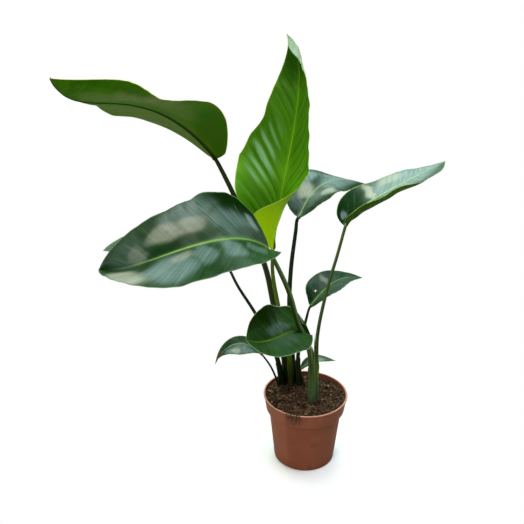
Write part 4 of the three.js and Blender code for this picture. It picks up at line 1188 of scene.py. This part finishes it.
def soil_body():
    """Points and faces of the closed body, whose top is the uneven one."""
    sectors, rings = ((300, 96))
    step = POT["height"] - POT["band_height"]
    bottom = POT["channel_rise"] + POT["floor"] + SOIL["gap"]
    sides = [
        (body_radius(bottom) - SOIL_WALL - 0.3, bottom), (body_radius(step - 4) - SOIL_WALL - 0.3, step - 2),
        (POT["band_bottom"] - SOIL_WALL - 0.4, step + 5), (SOIL_RADIUS - 1.2, SOIL["level"] - 12),
    ]
    angle = 2 * math.pi * np.arange(sectors) / sectors
    points = [np.stack([r * np.cos(angle), r * np.sin(angle), np.full(sectors, z)], -1) for r, z in sides]
    for i in range(rings):
        r = (SOIL_RADIUS - 0.7) * (1 - i / rings)
        x, y = r * np.cos(angle), r * np.sin(angle)
        rough = np.array([roughness_at(*at) for at in zip(x, y)])
        points.append(np.stack([x, y, soil_height(x, y) + rough - 0.6], -1))
    faces = tube_faces(len(points), sectors, caps=False)
    last = (len(points) - 1) * sectors
    count = last + sectors
    for k in range(sectors):
        n = (k + 1) % sectors
        faces += [(last + k, last + n, count), (n, k, count + 1)]
    middle = [[0, 0, soil_height([0.0], [0.0])[0]], [0, 0, bottom]]
    return np.concatenate([*points, middle]), faces


def crumb(ball):
    """Points of one crumb, or None where a stalk is in the way."""
    x, y = random_spot(SOIL_RADIUS - CRUMBS["margin"])
    size = rng.uniform(*CRUMBS["small" if rng.random() < CRUMBS["small_share"] else "large"])
    if meets_a_stalk(x, y, size + 0.8):
        return None
    z = soil_height([x], [y])[0] + size * rng.uniform(-0.25, 0.5)
    stretch = np.array([rng.uniform(0.7, 1.4), rng.uniform(0.7, 1.3), rng.uniform(0.5, 0.9)]) * size
    bumps = np.array([rng.uniform(0.72, 1.2) for _ in ball])[:, None]
    turn = rng.uniform(0, math.pi)
    shape = ball * bumps * stretch
    turned = [shape[:, 0] * math.cos(turn) - shape[:, 1] * math.sin(turn),
              shape[:, 0] * math.sin(turn) + shape[:, 1] * math.cos(turn), shape[:, 2]]
    return np.stack(turned, -1) + (x, y, z)


def thread_line():
    """A fibre's line, which ends where it meets a stalk or the pot, and its half thickness."""
    x, y = random_spot(SOIL_RADIUS - THREADS["margin"])
    heading, length = 2 * math.pi * rng.random(), rng.uniform(8, 28)
    bend, thick = rng.uniform(-0.16, 0.16), 0.14 + 0.4 * rng.random() ** 2
    lift = rng.uniform(0.2, 2.0)
    line = []
    for i in range(THREADS["knots"]):
        if math.hypot(x, y) > SOIL_RADIUS - 1.5 or meets_a_stalk(x, y, 1.2):
            break
        share = i / (THREADS["knots"] - 1)
        line.append((x, y, float(soil_height([x], [y])[0]) + 0.5 + lift * 4 * share * (1 - share)))
        x += length / THREADS["knots"] * math.cos(heading)
        y += length / THREADS["knots"] * math.sin(heading)
        heading += bend
    return line, thick


def thread_points(line, thick):
    line = np.array(line)
    groove, width = cross_directions(line, np.array([[0.05, 0.02, 1.0]]))
    angle = 2 * math.pi * np.arange(THREADS["sides"]) / THREADS["sides"]
    slim = thick * (1 - 0.6 * np.linspace(0, 1, len(line)) ** 2)[:, None]
    return ring_points(line, slim, angle, groove, width).reshape(-1, 3)


def joined(pieces):
    """The points, faces and shades of all the pieces as one set."""
    starts = np.cumsum([0] + [len(points) for points, _, _ in pieces]).tolist()
    faces = [tuple(start + i for i in f) for start, (_, more, _) in zip(starts, pieces) for f in more]
    shades = np.concatenate([np.full(len(points), shade) for points, _, shade in pieces])
    return np.concatenate([points for points, _, _ in pieces]), faces, shades


def soil():
    amount = "count"
    pieces = [(*soil_body(), 0.5)]
    made = bmesh.new()
    bmesh.ops.create_icosphere(made, subdivisions=1, radius=1)
    ball = np.array([v.co[:] for v in made.verts])
    ball_faces = [[v.index for v in f.verts] for f in made.faces]
    made.free()
    while len(pieces) <= CRUMBS[amount]:
        points = crumb(ball)
        if points is not None:
            pieces.append((points, ball_faces, rng.random()))

    for k in range(THREADS[amount]):
        line, thick = thread_line()
        spilled = k < THREADS["spilled"]
        if spilled:
            line, thick = spilled_root(), rng.uniform(0.22, 0.5)
        if len(line) < THREADS["fewest_knots"]:
            continue
        shade = rng.uniform(0.15, 0.45) if spilled else rng.random() ** 0.6
        pieces.append((thread_points(line, thick), tube_faces(len(line), THREADS["sides"]), shade))
    points, faces, shades = joined(pieces)
    piece = add_mesh("soil_surface", points, faces, SOIL_EARTH, {"shade": shades})
    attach(piece, "root")
    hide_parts("soil")


soil()

# ---------------------------------------------------------------- floor, light, world


def floor_paint():
    """A pale floor, which runs out into the white of the surroundings away from the plant."""
    n = Nodes(bpy.data.materials.new("floor"))
    place = n.object_place()
    tint = n.mix(n.noise(place, 3.0, 2.0), rgb(0.92, 0.86, 0.88), rgb(0.95, 0.89, 0.91))
    seen = n.node("ShaderNodeLightPath").outputs["Is Camera Ray"]
    tint = n.mix(seen, rgb(0.4, 0.38, 0.36), tint)
    surface = n.principled(tint, 0.8, 0.2)
    white = n.node("ShaderNodeEmission", {"Color": rgb(1.0, 1.0, 1.0), "Strength": 1.0})
    distance = n.node("ShaderNodeVectorMath", {0: place}, operation="LENGTH").outputs[1]
    share = n.times(n.span(distance, 0.066, 0.13), seen)
    return n.finish(n.mix_shader(share, surface, white.outputs[0]))


floor_mesh = bpy.data.meshes.new("floor")
floor_mesh.from_pydata([(-9, -9, 0), (9, -9, 0), (9, 9, 0), (-9, 9, 0)], [], [(0, 1, 2, 3)])
floor_mesh.materials.append(floor_paint())
floor = bpy.data.objects.new("floor", floor_mesh)
bpy.context.scene.collection.objects.link(floor)


def softbox(name, at, target, size, watts, colour):
    light = bpy.data.lights.new(name, "AREA")
    light.shape, light.size, light.size_y = "RECTANGLE", size[0], size[1]
    light.energy, light.color = watts, colour
    lamp = bpy.data.objects.new(name, light)
    lamp.location = at
    lamp.rotation_euler = (Vector(target) - Vector(at)).to_track_quat("-Z", "Y").to_euler()
    bpy.context.scene.collection.objects.link(lamp)
    return lamp


softbox("key", (-1.0, -1.4, 2.4), (-0.05, -0.05, 0.45), (0.75, 0.75), 22, (1.0, 0.98, 0.93))
softbox("right", (0.75, -0.7, 2.45), (0.0, 0.0, 0.45), (0.8, 0.8), 14, (1.0, 0.98, 0.94))
softbox("front", (-1.6, -2.6, 0.9), (0.0, 0.0, 0.45), (1.6, 1.0), 22, (1.0, 1.0, 0.97))

# pale places in the dim surroundings: azimuth from +Y towards +X, height, inner and outer angle, light
GLOWS = [
    (0, 90, 14, 40, (1.9, 2.4, 2.3)),
    (-5, 44, 14, 38, (1.4, 2.1, 1.85)),
    (-35, 66, 7, 18, (4.0, 4.4, 3.4)),
    (-48, 46, 8, 24, (1.3, 1.6, 1.3)),
    (86, 60, 7, 17, (1.6, 2.6, 3.0)),
    (54, 11, 4, 10, (4.0, 4.4, 4.0)),
]


def sky():
    """Dim surroundings with pale places in them, white where the camera sees them."""
    bpy.context.scene.world = bpy.data.worlds.new("studio")
    n = Nodes(bpy.context.scene.world, "ShaderNodeOutputWorld")
    direction = n.node("ShaderNodeTexCoord").outputs["Generated"]
    height = n.node("ShaderNodeSeparateXYZ", {0: direction}).outputs[2]
    colour = n.mix(n.span(height, -0.2, 0.9), rgb(0.05, 0.055, 0.06), rgb(0.2, 0.22, 0.24))
    for azimuth, elevation, inner, outer, light in GLOWS:
        a, e = math.radians(azimuth), math.radians(elevation)
        axis = (math.sin(a) * math.cos(e), math.cos(a) * math.cos(e), math.sin(e))
        near = n.node("ShaderNodeVectorMath", {0: direction, 1: axis}, operation="DOT_PRODUCT").outputs[1]
        share = n.span(near, math.cos(math.radians(outer)), math.cos(math.radians(inner)))
        colour = n.mix(share, colour, rgb(*light), "ADD")
    camera_ray = n.node("ShaderNodeLightPath").outputs["Is Camera Ray"]
    seen = n.mix(camera_ray, colour, rgb(1.0, 1.0, 1.0))
    n.finish(n.node("ShaderNodeBackground", {"Color": seen, "Strength": 1.0}).outputs[0])


sky()
bpy.context.scene.view_settings.view_transform = "Standard"
